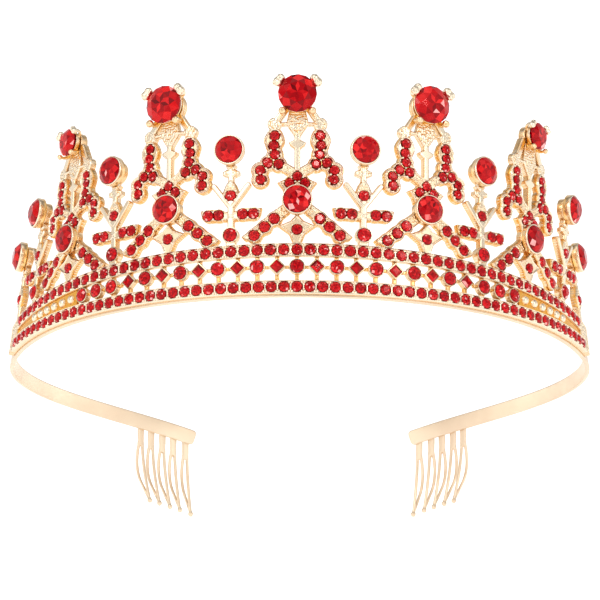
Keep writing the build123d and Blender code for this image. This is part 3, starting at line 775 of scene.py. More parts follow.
# ======== stones ========
def brilliant(radius, girdle, crown, seat):
    """Round brilliant: points, faces and one base painted facet reflection (depth of red) per face, in its
    own x, y, w.
    """
    ring16 = np.arange(16) * pi / 8
    ring8 = np.arange(8) * pi / 4
    half8 = ring8 + pi / 8

    def circle(angles, r, w):
        return np.stack((r * np.cos(angles), r * np.sin(angles), np.full(len(angles), w)), -1)

    edge = girdle + 0.07 * radius
    top = edge + crown
    points = np.concatenate((
        circle(ring16, 0.72 * radius, seat),
        circle(ring16, radius, girdle),
        circle(ring16, radius, edge),
        circle(half8, 0.80 * radius, edge + 0.56 * crown),
        circle(ring8, 0.56 * radius, top),
        circle(half8, 0.30 * radius, top),
        [(0, 0, top)],
    ))
    low, under, rim, star, flat, heart, centre = 0, 16, 32, 48, 56, 64, 72
    faces = [tuple(range(low + 15, low - 1, -1))]
    # painted facet reflections: a fixed depth of red for each facet, dark and bright wedges standing in for
    # the pavilion seen through the crown
    reds_and_painted_light = [0.2]
    for i in range(16):
        j = (i + 1) % 16
        faces.append((low + i, low + j, under + j, under + i))
        faces.append((under + i, under + j, rim + j, rim + i))
        reds_and_painted_light += [0.25, 0.45]
    for i in range(8):
        j, h = (i + 1) % 8, (i - 1) % 8
        faces.append((rim + 2 * i, rim + 2 * i + 1, star + i))
        faces.append((rim + 2 * i + 1, rim + (2 * i + 2) % 16, star + i))
        faces.append((rim + 2 * i, star + i, flat + i, star + h))
        faces.append((star + i, flat + j, flat + i))
        faces.append((flat + i, flat + j, heart + i))
        faces.append((centre, heart + h, flat + i, heart + i))
        reds_and_painted_light += [0.34, 0.52, 0.62, 0.42, 0.36 if i % 2 else 0.60, 0.55 if i % 2 else 0.30]
    return points, faces, np.array(reds_and_painted_light)


def square_stone(side, girdle, table, seat):
    """Square stone with a stepped crown, standing on its point."""
    def square(half, w):
        return [(half, 0, w), (0, half, w), (-half, 0, w), (0, -half, w)]

    half = side / 2 * 2 ** 0.5
    points = np.array(square(0.8 * half, seat) + square(half, girdle) + square(half, girdle + 0.1)
                      + square(0.55 * half, table) + [(0, 0, table)])
    # painted facet reflections: a fixed depth of red for each facet
    faces, reds_and_painted_light = [(3, 2, 1, 0)], [0.2]
    for k in range(3):
        for i in range(4):
            j = (i + 1) % 4
            faces.append((4 * k + i, 4 * k + j, 4 * k + 4 + j, 4 * k + 4 + i))
            reds_and_painted_light.append((0.3, 0.4, (0.30, 0.42, 0.68, 0.50)[i])[k])
    for i in range(4):
        faces.append((12 + i, 12 + (i + 1) % 4, 16))
        reds_and_painted_light.append((0.58, 0.30, 0.45, 0.36)[i])
    return points, faces, np.array(reds_and_painted_light)


def stones(name, places, template, slot, seed, turn=True):
    """A node's stones, each turned, with its own depth of red and its own painted facet reflections and
    glints.  The template is one cut, or a function that gives the cut of each stone by its number."""
    rng = np.random.default_rng(seed)
    parts, reds_and_painted_light = [], []
    for k, (u, v, *bend) in enumerate(places):
        points, faces, base = template(k) if callable(template) else template
        angle = rng.uniform(0, 2 * pi) if turn else 0.0
        spin = np.array(((cos(angle), sin(angle), 0), (-sin(angle), cos(angle), 0), (0, 0, 1)))
        world = on_tangent(u, v, points @ spin)
        parts.append((splayed(world, *bend) if bend else world, faces))
        # per stone a random shift in its depth of red; per facet a random spread of the painted reflections
        # and a few painted glints
        shift = rng.uniform(-STONE_SHIFT, STONE_SHIFT)
        painted_glint = rng.random(len(base)) < PAINTED_GLINT_SHARE
        own = rng.uniform(-FACET_SPREAD, FACET_SPREAD, len(base))
        reds_and_painted_light.append(base + own + shift + painted_glint * PAINTED_GLINT_GAIN)
    points, faces = merged(parts)
    piece(name, points, faces, slot, sharp=None, face_red_and_painted_light=np.clip(np.concatenate(reds_and_painted_light), 0, 1))


# ======== headband ========
def rounded_strip(low, high, inner, outer, radius):
    """Outline (out, up) of the strip's rounded section."""
    corner = 6
    points = []
    for cx, cy, start in ((outer - radius, high - radius, 0), (inner + radius, high - radius, 1),
                          (inner + radius, low + radius, 2), (outer - radius, low + radius, 3)):
        for k in range(corner + 1):
            angle = (start + k / corner) * pi / 2
            points.append((cx + radius * cos(angle), cy + radius * sin(angle)))
    return np.array(points)[::-1]


def build_headband():
    free = np.linspace(0, 1, 101)
    path = [arm_frame(t, -1) for t in free[::-1]]
    path += [cone_frame(u, 0.0) for u in np.arange(-CONE_REACH + 1, CONE_REACH, 1.0)]
    path += [arm_frame(t, 1) for t in free]
    # Extra stations close to each end let the corners be rounded by narrowing the section.
    stations = []
    places = np.array([place for place, _, _, _ in path])
    lengths = np.concatenate(([0], np.cumsum(np.linalg.norm(np.diff(places, axis=0), axis=1))))
    fine = STRIP_END_ROUND * (1 - np.cos(np.linspace(0, pi / 2, 9)))
    clear = STRIP_END_ROUND + 0.3
    between = lengths[(lengths > clear) & (lengths < lengths[-1] - clear)]
    wanted = np.concatenate((fine, between, lengths[-1] - fine[::-1]))
    frames = np.array([[place, up, out] for place, _, up, out in path])
    for s in wanted:
        k = min(np.searchsorted(lengths, s, "right") - 1, len(lengths) - 2)
        t = (s - lengths[k]) / (lengths[k + 1] - lengths[k])
        place, up, out = frames[k] * (1 - t) + frames[k + 1] * t
        short_of = max(0.0, STRIP_END_ROUND - min(s, lengths[-1] - s))
        cut = STRIP_END_ROUND - max(0.0, STRIP_END_ROUND**2 - short_of**2) ** 0.5
        section = rounded_strip(cut, STRIP_WIDTH - cut, -STRIP_THICK, 0.0, STRIP_EDGE)
        stations.append((place, unit(out), unit(up), section))
    points, faces = swept(stations)
    piece("headband", points, faces, "strip_metal", sharp=50)


# ======== gallery ========
def build_rail(name, row, half, pitch, side_count, reach):
    """Channel with rims and a thin wall between stones, which has two prong beads at each end."""
    centres = [k * pitch for k in range(-side_count, side_count + 1)]
    sheet = Sampling((-reach - 0.3, reach + 0.3), (-half - 0.3, half + 0.3))

    def inside(x, y):
        return np.minimum(reach - np.abs(x), half - np.abs(y))

    def front(x, y):
        from_edge = inside(x, y)
        rim = (RAIL_FRONT - rounded(from_edge, RAIL_ROUND)
               - 0.10 * step(RAIL_LIP - 0.12, RAIL_LIP, from_edge))
        nearest = np.abs((x / pitch - 0.5) - np.round(x / pitch - 0.5)) * pitch
        from_stone = np.hypot(pitch / 2 - nearest, y)
        floor = np.where(from_stone < ROW_STONE_R + 0.03, RAIL_FLOOR + 0.04, RAIL_CORNER)
        w = rim + (floor - rim) * step(RAIL_LIP - 0.10, RAIL_LIP, from_edge)
        wall = RAIL_WALL_TOP - rounded(RAIL_WALL_HALF - nearest, 0.12)
        w = np.where((nearest < RAIL_WALL_HALF) & (from_edge > 0.1), np.maximum(w, wall), w)
        for way in (-1, 1):
            off = np.hypot(nearest - 0.36, y - way * (half - RAIL_LIP - 0.27))
            bead = RAIL_WALL_TOP + np.sqrt(np.clip(PRONG_R**2 - off**2, 0, 1))
            w = np.where(off < PRONG_R, np.maximum(w, bead), w)
        # painted shade: the lower the surface, the deeper its painted amber
        return w, np.clip(1.0 - (w - 0.9) / 0.6, 0, 1)

    points, faces, painted_shade = sheet.plate(inside(sheet.x, sheet.y), front, CAST_BACK)
    world = on_cone(points[:, 0], row(points[:, 0]) + points[:, 1], points[:, 2])
    piece(name, world, faces, "cast_gold", painted_vertex_shade=painted_shade)
    return [(u, float(row(u))) for u in centres]


def build_lattice():
    steps = range(1, LATTICE_SIDE_COUNT + 1)
    squares = [s * k * LATTICE_PITCH for k in steps if k % 2 for s in (-1, 1)]
    rounds = [0.0] + [s * k * LATTICE_PITCH for k in steps if k % 2 == 0 for s in (-1, 1)]
    rounds += [s * u for u in LATTICE_END_ROUNDS for s in (-1, 1)]
    beads = [s * u for u in END_BEADS for s in (-1, 1)]
    low_most = LOWER_ROW_V - LOWER_RAIL_HALF - 0.3
    sheet = Sampling((-GALLERY_REACH - 0.3, GALLERY_REACH + 0.3), (low_most, UPPER_ROW_V))
    cap_low, cap_high = lattice_gap(UPPER_REACH)
    cap_foot = LOWER_ROW_V - LOWER_RAIL_HALF
    cap = [(UPPER_REACH + 0.15, cap_high + 2 * UPPER_RAIL_HALF),
           (GALLERY_REACH, float(upper_row(GALLERY_REACH)) + UPPER_RAIL_HALF), (GALLERY_REACH, cap_foot),
           (LOWER_REACH + 0.15, cap_foot), (LOWER_REACH + 0.15, cap_low + 0.12),
           (UPPER_REACH + 0.15, cap_low + 0.12)]

    def near(x, u):
        return np.abs(x - u) < 3.2

    def fields(x, y):
        """Distance inside the metal, the height of its front and its painted shade."""
        total = np.full(x.shape, -9.0)
        w = np.full(x.shape, 0.5)
        painted_shade = np.full(x.shape, 0.5)

        # each layer carries a painted shade level: deeper amber for the low bars, links, uprights and seats,
        # paler for the raised frames, cups and bead tops
        def lay(mask, inside, height, painted_shade_level):
            total[mask] = np.maximum(total[mask], inside)
            covers = (inside > -1e-6) & (height > w[mask])
            w[mask] = np.where(covers, height, w[mask])
            painted_shade[mask] = np.where(covers, painted_shade_level, painted_shade[mask])

        for side in (-1, 1):
            m = (x * side > END_BAR_START - 0.5)
            low, high = lattice_gap(x[m])
            strip = np.minimum(np.minimum(side * x[m] - END_BAR_START, UPPER_REACH + 0.6 - side * x[m]),
                               np.minimum(y[m] - low - GAP, high - GAP - y[m]))
            lay(m, strip, 0.95 - rounded(strip, EDGE_ROUND), 0.95)
        for u in beads:
            m = near(x, u)
            off = np.hypot(x[m] - u, y[m] - float(lattice_row(u)))
            dome = 0.80 + np.sqrt(np.clip(END_BEAD_R**2 - off**2, 0, 9)) * 0.95
            lay(m, END_BEAD_R - off, dome, np.clip(0.8 - (dome - 0.9) * 1.1, 0, 1))
        for u in squares + rounds:
            m = near(x, u)
            px, py = x[m] - u, y[m]
            low, high = lattice_gap(u)
            middle = float(lattice_row(u))
            upright = np.minimum(UPRIGHT_HALF - np.abs(px), np.minimum(py - low - GAP, high - GAP - py))
            link = np.minimum(LATTICE_PITCH / 2 + 0.4 - np.abs(px), LINK_HALF - np.abs(py - middle))
            for plain in (upright, link):
                lay(m, plain, LINK_FRONT - rounded(plain, LINK_ROUND), 0.75)
            if u in squares:
                side = min(LATTICE_FRAME, float(high - middle - GAP) * 2**0.5)
                frame_in = (side / 2 * 2**0.5 - np.abs(px) - np.abs(py - middle)) / 2**0.5
                crest = FRAME_FRONT - rounded(frame_in, EDGE_ROUND)
                seat = frame_in > (side - LATTICE_SQUARE) / 2
                lay(m, frame_in, np.where(seat, CUP_FLOOR, crest), 0.42)
            else:
                ring = disc(px, py, (0, middle), cup_radius(u))
                crest = CUP_LIP_FRONT - rounded(ring, 0.16) - 0.06 * step(0.2, 0.3, ring)
                seat = ring > LATTICE_CUP_WALL - 0.02
                lay(m, ring, np.where(seat, CUP_FLOOR, crest), 0.3)
            w[m] = np.where(seat, CUP_FLOOR - 0.03, w[m])
        for side in (-1, 1):
            m = (x * side > UPPER_REACH - 0.5)
            plate = outline(side * x[m], y[m], cap)
            grain = granules(x[m], y[m], GRAIN_SIZE, 8) * step(0.35, 0.6, plate)
            rim = 1.45 - 0.30 * step(0.35, 0.5, plate)
            # painted shade between the grains, pale on their tops
            lay(m, plate, rim - rounded(plate, 0.2) + 0.25 * grain, np.clip(0.55 - 0.5 * grain, 0, 1))
        return total, w, painted_shade

    inside = fields(sheet.x, sheet.y)[0]
    points, faces, painted_shade = sheet.plate(inside, lambda x, y: fields(x, y)[1:], CAST_BACK)
    piece("gallery_lattice", on_cone(*points.T), faces, "cast_gold", painted_vertex_shade=painted_shade)
    return squares, rounds


# ======== openwork castings ========
def prong_spots(chains, radii):
    """Where the little prongs stand round chains of small stones."""
    stones_at = [(p, r) for chain, r in zip(chains, radii) for p in chain]
    spots = []

    def offer(x, y):
        clear = all(hypot(x - px, y - py) > r + PRONG_CLEAR for (px, py), r in stones_at)
        if clear and all(hypot(x - sx, y - sy) > PRONG_SPACING for sx, sy in spots):
            spots.append((x, y))

    for chain, radius in zip(chains, radii):
        reach = radius + PRONG_REACH
        for (ax, ay), (bx, by) in zip(chain, chain[1:]):
            length = hypot(bx - ax, by - ay)
            nx, ny = (ay - by) / length, (bx - ax) / length
            off = max(PRONG_OFF_LINE, max(0.0, reach**2 - (length / 2) ** 2) ** 0.5)
            for way in (-1, 1):
                offer((ax + bx) / 2 + nx * off * way, (ay + by) / 2 + ny * off * way)
        ends = [(chain[0], chain[1]), (chain[-1], chain[-2])] if len(chain) > 1 else []
        for (px, py), (qx, qy) in ends:
            away = np.arctan2(py - qy, px - qx)
            for turn in (-END_PRONG_TURN, END_PRONG_TURN):
                offer(px + reach * cos(away + turn), py + reach * sin(away + turn))
        if len(chain) == 1:
            for k in range(4):
                angle = pi / 4 + k * pi / 2
                offer(chain[0][0] + reach * cos(angle), chain[0][1] + reach * sin(angle))
    return spots


def casting(name, u0, sheet, drawing, angle):
    """Cast plate from a drawing of rimmed, plain and grained shapes and its stone seats."""
    def rimmed_at(x, y):
        return joined([f(x, y) for f in drawing["rimmed"]], FILLET)

    def plain_at(x, y):
        return [f(x, y) for f in drawing["plain"]]

    gx, gy = sheet.x, sheet.y
    rimmed_grid = rimmed_at(gx, gy)
    shapes = [rimmed_grid] + plain_at(gx, gy) + [g(gx, gy) for g in drawing["grained"]]
    above_rail = gy - (upper_row(u0 + gx) + UPPER_RAIL_HALF + GAP)
    whole = np.minimum(joined(shapes), above_rail)

    def front(x, y):
        own = rimmed_at(x, y)
        covered = own > INSIDE
        depth = np.where(covered, sheet.depth(rimmed_grid, x, y), 0.0)
        ledge = SHELF_FRONT - rounded(depth, EDGE_ROUND)
        crest = CAST_FRONT - 0.28 * ((depth - RIM_INSET) / RIM_HALF) ** 2
        w = ledge + (np.maximum(crest, FLOOR_FRONT) - ledge) * step(0.20, 0.32, depth)
        w = np.where(covered, w, -1.0)
        # painted shade: the lower the surface, the deeper its painted amber
        painted_shade = np.where(covered, np.clip(0.9 - (w - 0.9) * 1.6, 0, 1), 0.0)
        grain = granules(x + u0, y, GRAIN_SIZE, 3)
        rough = np.zeros(x.shape)
        for g in drawing["grain_zones"]:
            rough = np.maximum(rough, step(0.0, 0.35, g(x, y)))
        rough = rough * step(0.55, 0.75, np.where(own > 0.02, depth, 1.0))
        w = w + np.where(covered, rough * (0.26 * grain - 0.06), 0.0)
        # plain shapes: pale on top, painted shade on their rounded sides
        layers = [(inside, PLAIN_FRONT - rounded(inside, PLAIN_ROUND), 0.10 + 0.5 * step(0.35, 0.0, inside))
                  for inside in plain_at(x, y)]
        for g in drawing["grained"]:
            inside = g(x, y)
            grains = 0.20 * grain * step(0.05, 0.45, inside)
            # grained panels: painted shade between the grains, paler on their tops
            layers.append((inside, PANEL_FRONT - rounded(inside, PANEL_ROUND) + grains, 0.75 - 0.75 * grain))
        for inside, height, painted_shade_level in layers:
            covers = (inside > INSIDE) & (height > w)
            w = np.where(covers, height, w)
            painted_shade = np.where(covers, painted_shade_level, painted_shade)
        for chain in drawing["chains"]:
            shade = np.full(x.shape, 9.0)
            for p in chain:
                shade = np.minimum(shade, np.hypot(x - p[0], y - p[1]))
            for a, b in zip(chain, chain[1:]):
                shade = np.minimum(shade, 0.45 - bar(x, y, a, b, 0.0))
            sunk = step(FIELD_R + 0.05, FIELD_R - 0.07, shade)
            w = w + (np.minimum(w, FIELD_FRONT) - w) * sunk
            # painted shade in the sunk field round the small stones
            painted_shade = np.maximum(painted_shade, 0.75 * sunk)
        for (px, py), r in drawing["seats"]:
            w = np.where(np.hypot(x - px, y - py) < r + 0.03, np.minimum(w, STONE_SEAT), w)
        for px, py in drawing["prongs"]:
            off = np.hypot(x - px, y - py)
            top = PRONG_BASE + np.sqrt(np.clip(PRONG_R**2 - off**2, 0, 1))
            hit = (off < PRONG_R) & (top > w)
            w = np.where(hit, top, w)
            painted_shade = np.where(hit, 0.05, painted_shade)
        for (px, py), r in drawing["cups"]:
            off = np.hypot(x - px, y - py)
            lip = FRAME_FRONT - rounded(r + BASE_CUP_WALL - off, EDGE_ROUND)
            w = np.where((off < r + BASE_CUP_WALL) & (off > r + 0.03), np.maximum(w, lip), w)
            w = np.where(off <= r + 0.03, BASE_CUP_FLOOR, w)
        return np.maximum(w, LEAST_FRONT), painted_shade

    points, faces, painted_shade = sheet.plate(whole, front, MOTIF_BACK)
    world = on_cone(u0 + points[:, 0], points[:, 1], points[:, 2])
    piece(name, splayed(world, u0, angle), faces, "cast_gold", painted_vertex_shade=painted_shade)


def drum_cup(name, u, v, radius, front, angle):
    """Turned bezel cup: stepped foot, straight wall and a thin lip drawn over the stone."""
    outer = radius + DRUM_WALL
    back = CAST_FRONT + GAP
    profile = [(outer - 0.25, back), (outer - 0.08, back + 0.03), (outer, back + 0.14),
               (outer, front - 0.34), (outer - 0.03, front - 0.22), (outer - 0.12, front - 0.06),
               (outer - 0.24, front), (radius + 0.10, front - 0.02), (radius + 0.02, front - 0.10),
               (radius + 0.02, back + 0.30), (radius * 0.6, back + 0.26)]
    points, faces = lathe(profile)
    # painted shade: deeper amber down the wall towards the foot and on the inner wall below the lip, palest
    # at the lip
    painted_shade = np.interp(points[:, 2], (back, back + 0.9, front - 0.35, front), (0.85, 0.42, 0.30, 0.05))
    inner = np.hypot(points[:, 0], points[:, 1]) < radius + 0.15
    painted_shade[inner & (points[:, 2] < front - 0.05)] = 0.9
    world = splayed(on_tangent(u, v, points), u, angle)
    piece(name, world, faces, "setting_gold", painted_vertex_shade=painted_shade)


def claw_setting(name, u, v, top_r, girdle, seed, splay):
    """Basket with a sloping wall and four claws bent over the stone, each ending in knobbly balls."""
    ratio = top_r / TOP_STONE_R
    base = CAST_FRONT + GAP
    feet = [(s * x * ratio, y * ratio) for x, y in (UPPER_CLAW, LOWER_CLAW) for s in (-1, 1)]
    profile = [(0.58, base + 0.05), (0.76, base + 0.05), (0.97, girdle - 0.9), (0.98, girdle - 0.5),
               (0.86, girdle - 0.5), (0.60, base + 0.7)]
    count = len(profile)
    wall, faces = [], []
    for k in range(WALL_SEGMENTS):
        c, s = cos(2 * pi * k / WALL_SEGMENTS) * top_r, sin(2 * pi * k / WALL_SEGMENTS) * top_r
        wall += [(c * out, s * out, up) for out, up in profile]
        here, after = k * count, (k + 1) % WALL_SEGMENTS * count
        for i in range(count):
            j = (i + 1) % count
            faces.append((here + i, after + i, after + j, here + j))
    parts = [(wall, faces)]
    for k, (fx, fy) in enumerate(feet):
        radial = np.array((fx, fy, 0)) / hypot(fx, fy)
        side = np.array((-radial[1], radial[0], 0))
        reach = hypot(fx, fy)
        path = [radial * top_r * 0.66 * 0.9 + (0, 0, base + 0.42),
                radial * (reach * 0.90) + (0, 0, base + 0.45),
                radial * (reach * 1.02) + (0, 0, base + 0.5 * (girdle - base) + 0.2),
                radial * reach + (0, 0, girdle + 0.35)]
        widths = [1.5 * ratio, 1.7 * ratio, 1.5 * ratio, 1.35 * ratio]
        thicks = [0.8, 1.0 * ratio, 1.0 * ratio, 1.0 * ratio]
        parts.append(tube(path, widths, thicks, side, 22))
        if fy > 0:
            for dx, dy, lump in UPPER_LUMPS:
                centre = (fx * dx, fy * dy, girdle + 0.45)
                parts.append(ball(centre, lump * ratio, 14, 0.26, seed + 7 * k + int(10 * dx)))
        else:
            centre = radial * (reach + 0.1) + (0, 0, girdle + 0.4)
            parts.append(ball(centre, LOWER_BALL * ratio, 14, 0.20, seed + k))
    points, faces = fused(*merged(parts), SETTING_VOXEL, 4)
    # painted shade: deeper amber low down near the foot and on the lower half, whose claws face downward
    painted_shade = np.interp(points[:, 2], (base, base + 0.8, girdle + 0.8), (0.80, 0.30, 0.05))
    painted_shade = np.clip(painted_shade + 0.45 * step(0.0, -0.5 * top_r, points[:, 1]), 0, 1)
    world = splayed(on_tangent(u, v, points), u, splay)
    piece(name, world, faces, "setting_gold", sharp=60, painted_vertex_shade=painted_shade)


def build_spire(name, u0, shrink, top_r, seed, angle=0.0):
    fall = float(taper(u0))

    def height(v):
        return (v if v < PIVOT else PIVOT + (v - PIVOT) * shrink) - fall

    def at(x, v):
        return x, height(v)

    def mirrored(points):
        return [[at(s * x, v) for x, v in points] for s in (-1, 1)]

    reach = 5.0 - top_r
    chip = CHIP_R * shrink
    chains = mirrored(ARM_STONES) + mirrored(CURL_STONES) + mirrored(LEG_STONES)
    chains += [[at(x, v) for x, v in CREST_STONES], [at(*KITE_STONE)]]
    radii = [chip] * 4 + [LARGE_CHIP_R] * 2 + [chip, LARGE_CHIP_R]
    rimmed, plain, grained, zones = [], [], [], []
    for chain, blob in zip(chains, [ARM_BLOB_R] * 4 + [BLOB_R] * 2):
        rimmed += [dot(p, blob) for p in chain]
        rimmed += [rib(a, b, blob * 1.5) for a, b in zip(chain, chain[1:])]
    rimmed.append(symmetric(at, (0, 33.4), (1.9, 32.1), (3.2, 30.6), (5.1, 29.7), (3.8, 28.0),
                            (3.3, 26.4), (0, 25.6)))
    rimmed.append(symmetric(at, (0, 21.6), (1.7, 19.7), (4.9, 18.3), (2.1, 16.2), (1.2, 14.0),
                            (1.2, 12.0)))
    for s in (-1, 1):
        bulb = at(s * BULB[0], BULB[1])
        rimmed += [dot(at(s * 5.8, 40.9), 2.65), dot(at(s * 9.45, 33.1), 2.28), dot(at(s * 9.4, 30.6), 2.28)]
        rimmed.append(patch([at(s * 5.2, 22.9), at(s * 14.1, 15.75), at(s * 13.2, 14.6), at(s * 9.5, 14.9),
                             at(s * 5.4, 19.5)]))
        rimmed.append(rib(at(s * 2.4, 23.2), at(s * 5.9, 20.2), 3.1))
        rimmed.append(rib(at(s * 4.75, 34.6), at(s * 1.5, 32.6), 2.7))
        zones.append(rib(at(s * 2.6, 23.0), at(s * 4.2, 21.6), 2.4))
        zones.append(rib(at(s * 3.6, 33.7), at(s * 1.9, 32.9), 1.8))
        grained += [dot(bulb, 1.80), rib(bulb, at(s * 5.7, 43.4), 2.6), rib(bulb, at(s * 2.2, 45.3), 0.9)]
        plain.append(rib(bulb, at(s * 2.9, 49.4 + reach), 1.8))
    grained.append(symmetric(at, (2.1, 48.7 + reach), (2.9, 45.2), (0, 40.8)))
    plain.append(symmetric(at, (0, 41.4), (2.15, 40.3), (1.9, 39.6), (0, 38.1)))
    plain.append(rib(at(0, 42.0), at(0, 32.2), 1.5))
    plain.append(dot(at(*MID_STONE), MID_STONE_R))
    top = at(*TOP_STONE)

    def seat_ring(x, y):
        off = np.hypot(x - top[0], y - top[1])
        return np.minimum(top_r * 0.84 - off, off - top_r * 0.45)

    plain.append(seat_ring)
    fine = [at(s * x, v) for x, v in ARM_STONES + CURL_STONES[1:] for s in (-1, 1)]
    fine += [at(x, v) for x, v in CREST_STONES]
    large = [at(s * x, v) for x, v in LEG_STONES for s in (-1, 1)] + [at(*KITE_STONE)]
    drawing = {
        "rimmed": rimmed, "plain": plain, "grained": grained, "grain_zones": zones, "chains": chains,
        "seats": [(p, chip) for p in fine] + [(p, LARGE_CHIP_R) for p in large],
        "prongs": prong_spots(chains, radii), "cups": [],
    }
    sheet = Sampling((-14.6, 14.6), (height(12.0) - 0.5, height(TOP_STONE[1]) + top_r * 0.84 + 0.4))
    casting(f"spire_{name}", u0, sheet, drawing, angle)

    chip_cut = brilliant(chip, CHIP_GIRDLE, 0.52, STONE_SIT)
    large_cut = brilliant(LARGE_CHIP_R, CHIP_GIRDLE, 0.60, STONE_SIT)
    bend = (u0, angle)
    spots = [(u0 + x, y, *bend) for x, y in fine + large]
    stones(f"spire_stones_{name}", spots, lambda k: chip_cut if k < len(fine) else large_cut,
           "red_chip", seed)
    mid = height(MID_STONE[1])
    drum_cup(f"mid_cup_{name}", u0, mid, MID_STONE_R, 3.15, angle)
    mid_cut = brilliant(MID_STONE_R, 3.10, 1.10, 2.0)
    stones(f"mid_stone_{name}", [(u0, mid, *bend)], mid_cut, "red_stone", seed + 1)
    top_v = height(TOP_STONE[1])
    girdle = 2.35 + top_r * 0.36
    claw_setting(f"claw_setting_{name}", u0, top_v, top_r, girdle, seed, angle)
    top_cut = brilliant(top_r, girdle, 0.31 * top_r, girdle - 0.30 * top_r)
    stones(f"top_stone_{name}", [(u0, top_v, *bend)], top_cut, "red_stone", seed + 2)


def build_post(name, u0, shrink, angle=0.0, short=False):
    fall = float(taper(u0)) + (END_POST_DROP if short else 0.0)

    def height(v):
        return POST_FOOT + (v - POST_FOOT) * shrink - fall

    def at(x, v):
        return x, height(v)

    rimmed = [symmetric(at, (0, 31.6), (1.3, 29.9), (2.4, 27.2), (1.6, 25.2), (0, 23.5))]
    zones = [symmetric(at, (0, 31.2), (1.3, 29.6), (1.3, 28.4))]
    plain = [dot(at(0, BALL_V), 3.0), rib(at(0, 36), at(0, 29.5), 1.5)]
    grained = [symmetric(at, (1.5, 34.9), (0.9, 33.9), (2.2, 33.3), (2.2, 32.3), (0.9, 31.8))]
    chains = [[at(0, 26.9)]]
    cups = []
    if short:
        plain.append(rib(at(0, 25), at(0, 19.0), 2.0))
    else:
        for s in (-1, 1):
            plain.append(rib(at(0, 23.7), at(s * 4.45, 29.6), 1.4))
            near, far = at(s * 3.1, 21.85), at(s * 5.85, 21.85)
            chains.append([near, far])
            rimmed += [dot(near, 1.7), dot(far, 1.7), rib(at(s * 1.2, 21.5), at(s * 5.75, 21.75), 2.6)]
            rimmed.append(patch([at(s * 2.4, 23.3), at(s * 5.4, 23.6), at(s * 8.0, 23.4), at(s * 7.6, 21.5),
                                 at(s * 5.6, 20.3), at(s * 2.4, 20.2)]))
        base = at(0, BASE_STONE_V)
        plain += [rib(at(0, 25), at(0, 12.8), 1.7), dot(base, 2.15), rib(at(0, 16.4), at(0, 12.8), 2.6)]
        cups.append((base, BASE_STONE_R))
    places = [p for chain in chains for p in chain]
    drawing = {
        "rimmed": rimmed, "plain": plain, "grained": grained, "grain_zones": zones, "chains": chains,
        "seats": [(p, LARGE_CHIP_R) for p in places],
        "prongs": prong_spots(chains, [LARGE_CHIP_R] * len(chains)), "cups": cups,
    }
    ball_v = height(BALL_V)
    sheet = Sampling((-8.5, 8.5), (float(upper_row(u0)) + 1.0, ball_v + 3.3))
    casting(f"post_{name}", u0, sheet, drawing, angle)
    drum_cup(f"ball_cup_{name}", u0, ball_v, BALL_STONE_R, 3.45, angle)
    bend = (u0, angle)
    small_places.extend((u0 + x, y, *bend) for x, y in places)
    ball_places.append((u0, ball_v, *bend))
    if not short:
        base_places.append((u0, height(BASE_STONE_V), *bend))


# ======== combs ========
def build_comb(name, side):
    """Soldered plate with looped wire teeth: each a tab, a bowed and a straight wire and a tip."""
    span = (COMB_TEETH - 1) * TOOTH_PITCH + TAB_WIDTH + 0.3
    stations = []
    for k in range(21):
        place, _, up, out = arm_frame(arm_share(0.3 + span * k / 20), side)
        stations.append((place, out, up, rounded_strip(0.7, 3.3, GAP, 0.85, 0.2)))
    parts = [swept(stations[::-side])]
    for k in range(COMB_TEETH):
        place, run, _, _ = arm_frame(arm_share(0.4 + TAB_WIDTH / 2 + k * TOOTH_PITCH), side)
        run = unit(run * (1, 1, 0))
        up = np.array((0.0, 0.0, 1.0))
        out = np.cross(run, up)

        def world(x, y, z):
            return place + run * (-side * x) + up * y + out * z

        tab = [world(*spot) for spot in TAB_PATH]
        parts.append(tube(tab, (2.0, TAB_WIDTH, 2.05, 1.8), (0.75, 0.75, 0.75, 0.75), run, 14))
        for wire in (BOWED_WIRE, STRAIGHT_WIRE):
            parts.append(tube([world(*spot) for spot in wire], WIRE_WIDTHS, WIRE_THICKS, run, 34, 14))
        parts.append(ball(world(0, -TIP_DROP, -3.6), 0.70, 12, 0.14, k))
    points, faces = fused(*merged(parts), COMB_VOXEL, 5)
    piece(name, points, faces, "strip_metal", sharp=60)


# ======== everything ========
build_headband()
row_cut = brilliant(ROW_STONE_R, 1.28, 0.58, RAIL_FLOOR + 0.07)
lower_places = build_rail("lower_rail", lower_row, LOWER_RAIL_HALF, LOWER_PITCH, LOWER_SIDE_COUNT,
                          LOWER_REACH)
stones("lower_row_stones", lower_places, row_cut, "red_chip", 11)
upper_places = build_rail("upper_rail", upper_row, UPPER_RAIL_HALF, UPPER_PITCH, UPPER_SIDE_COUNT,
                          UPPER_REACH)
stones("upper_row_stones", upper_places, row_cut, "red_chip", 12)
squares, rounds = build_lattice()
stones("lattice_square_stones", [(u, float(lattice_row(u))) for u in squares],
       square_stone(LATTICE_SQUARE - 0.12, 1.60, 2.15, 0.95), "red_chip", 13, turn=False)
stones("lattice_round_stones", [(u, float(lattice_row(u))) for u in rounds],
       lambda k: brilliant(cup_radius(rounds[k]) - LATTICE_CUP_WALL - 0.02, 1.62, 0.62, 0.95),
       "red_chip", 14)

build_spire("centre", 0.0, 1.0, TOP_STONE_R, 20)
build_spire("inner_left", -2 * MOTIF_PITCH, 1.0, TOP_STONE_R, 25)
build_spire("inner_right", 2 * MOTIF_PITCH, 1.0, TOP_STONE_R, 35)
build_spire("outer_left", -4 * MOTIF_PITCH, 0.95, SIDE_TOP_STONE_R, 45)
build_spire("outer_right", 4 * MOTIF_PITCH, 1.0, SIDE_TOP_STONE_R, 55, SPIRE_SPLAY)

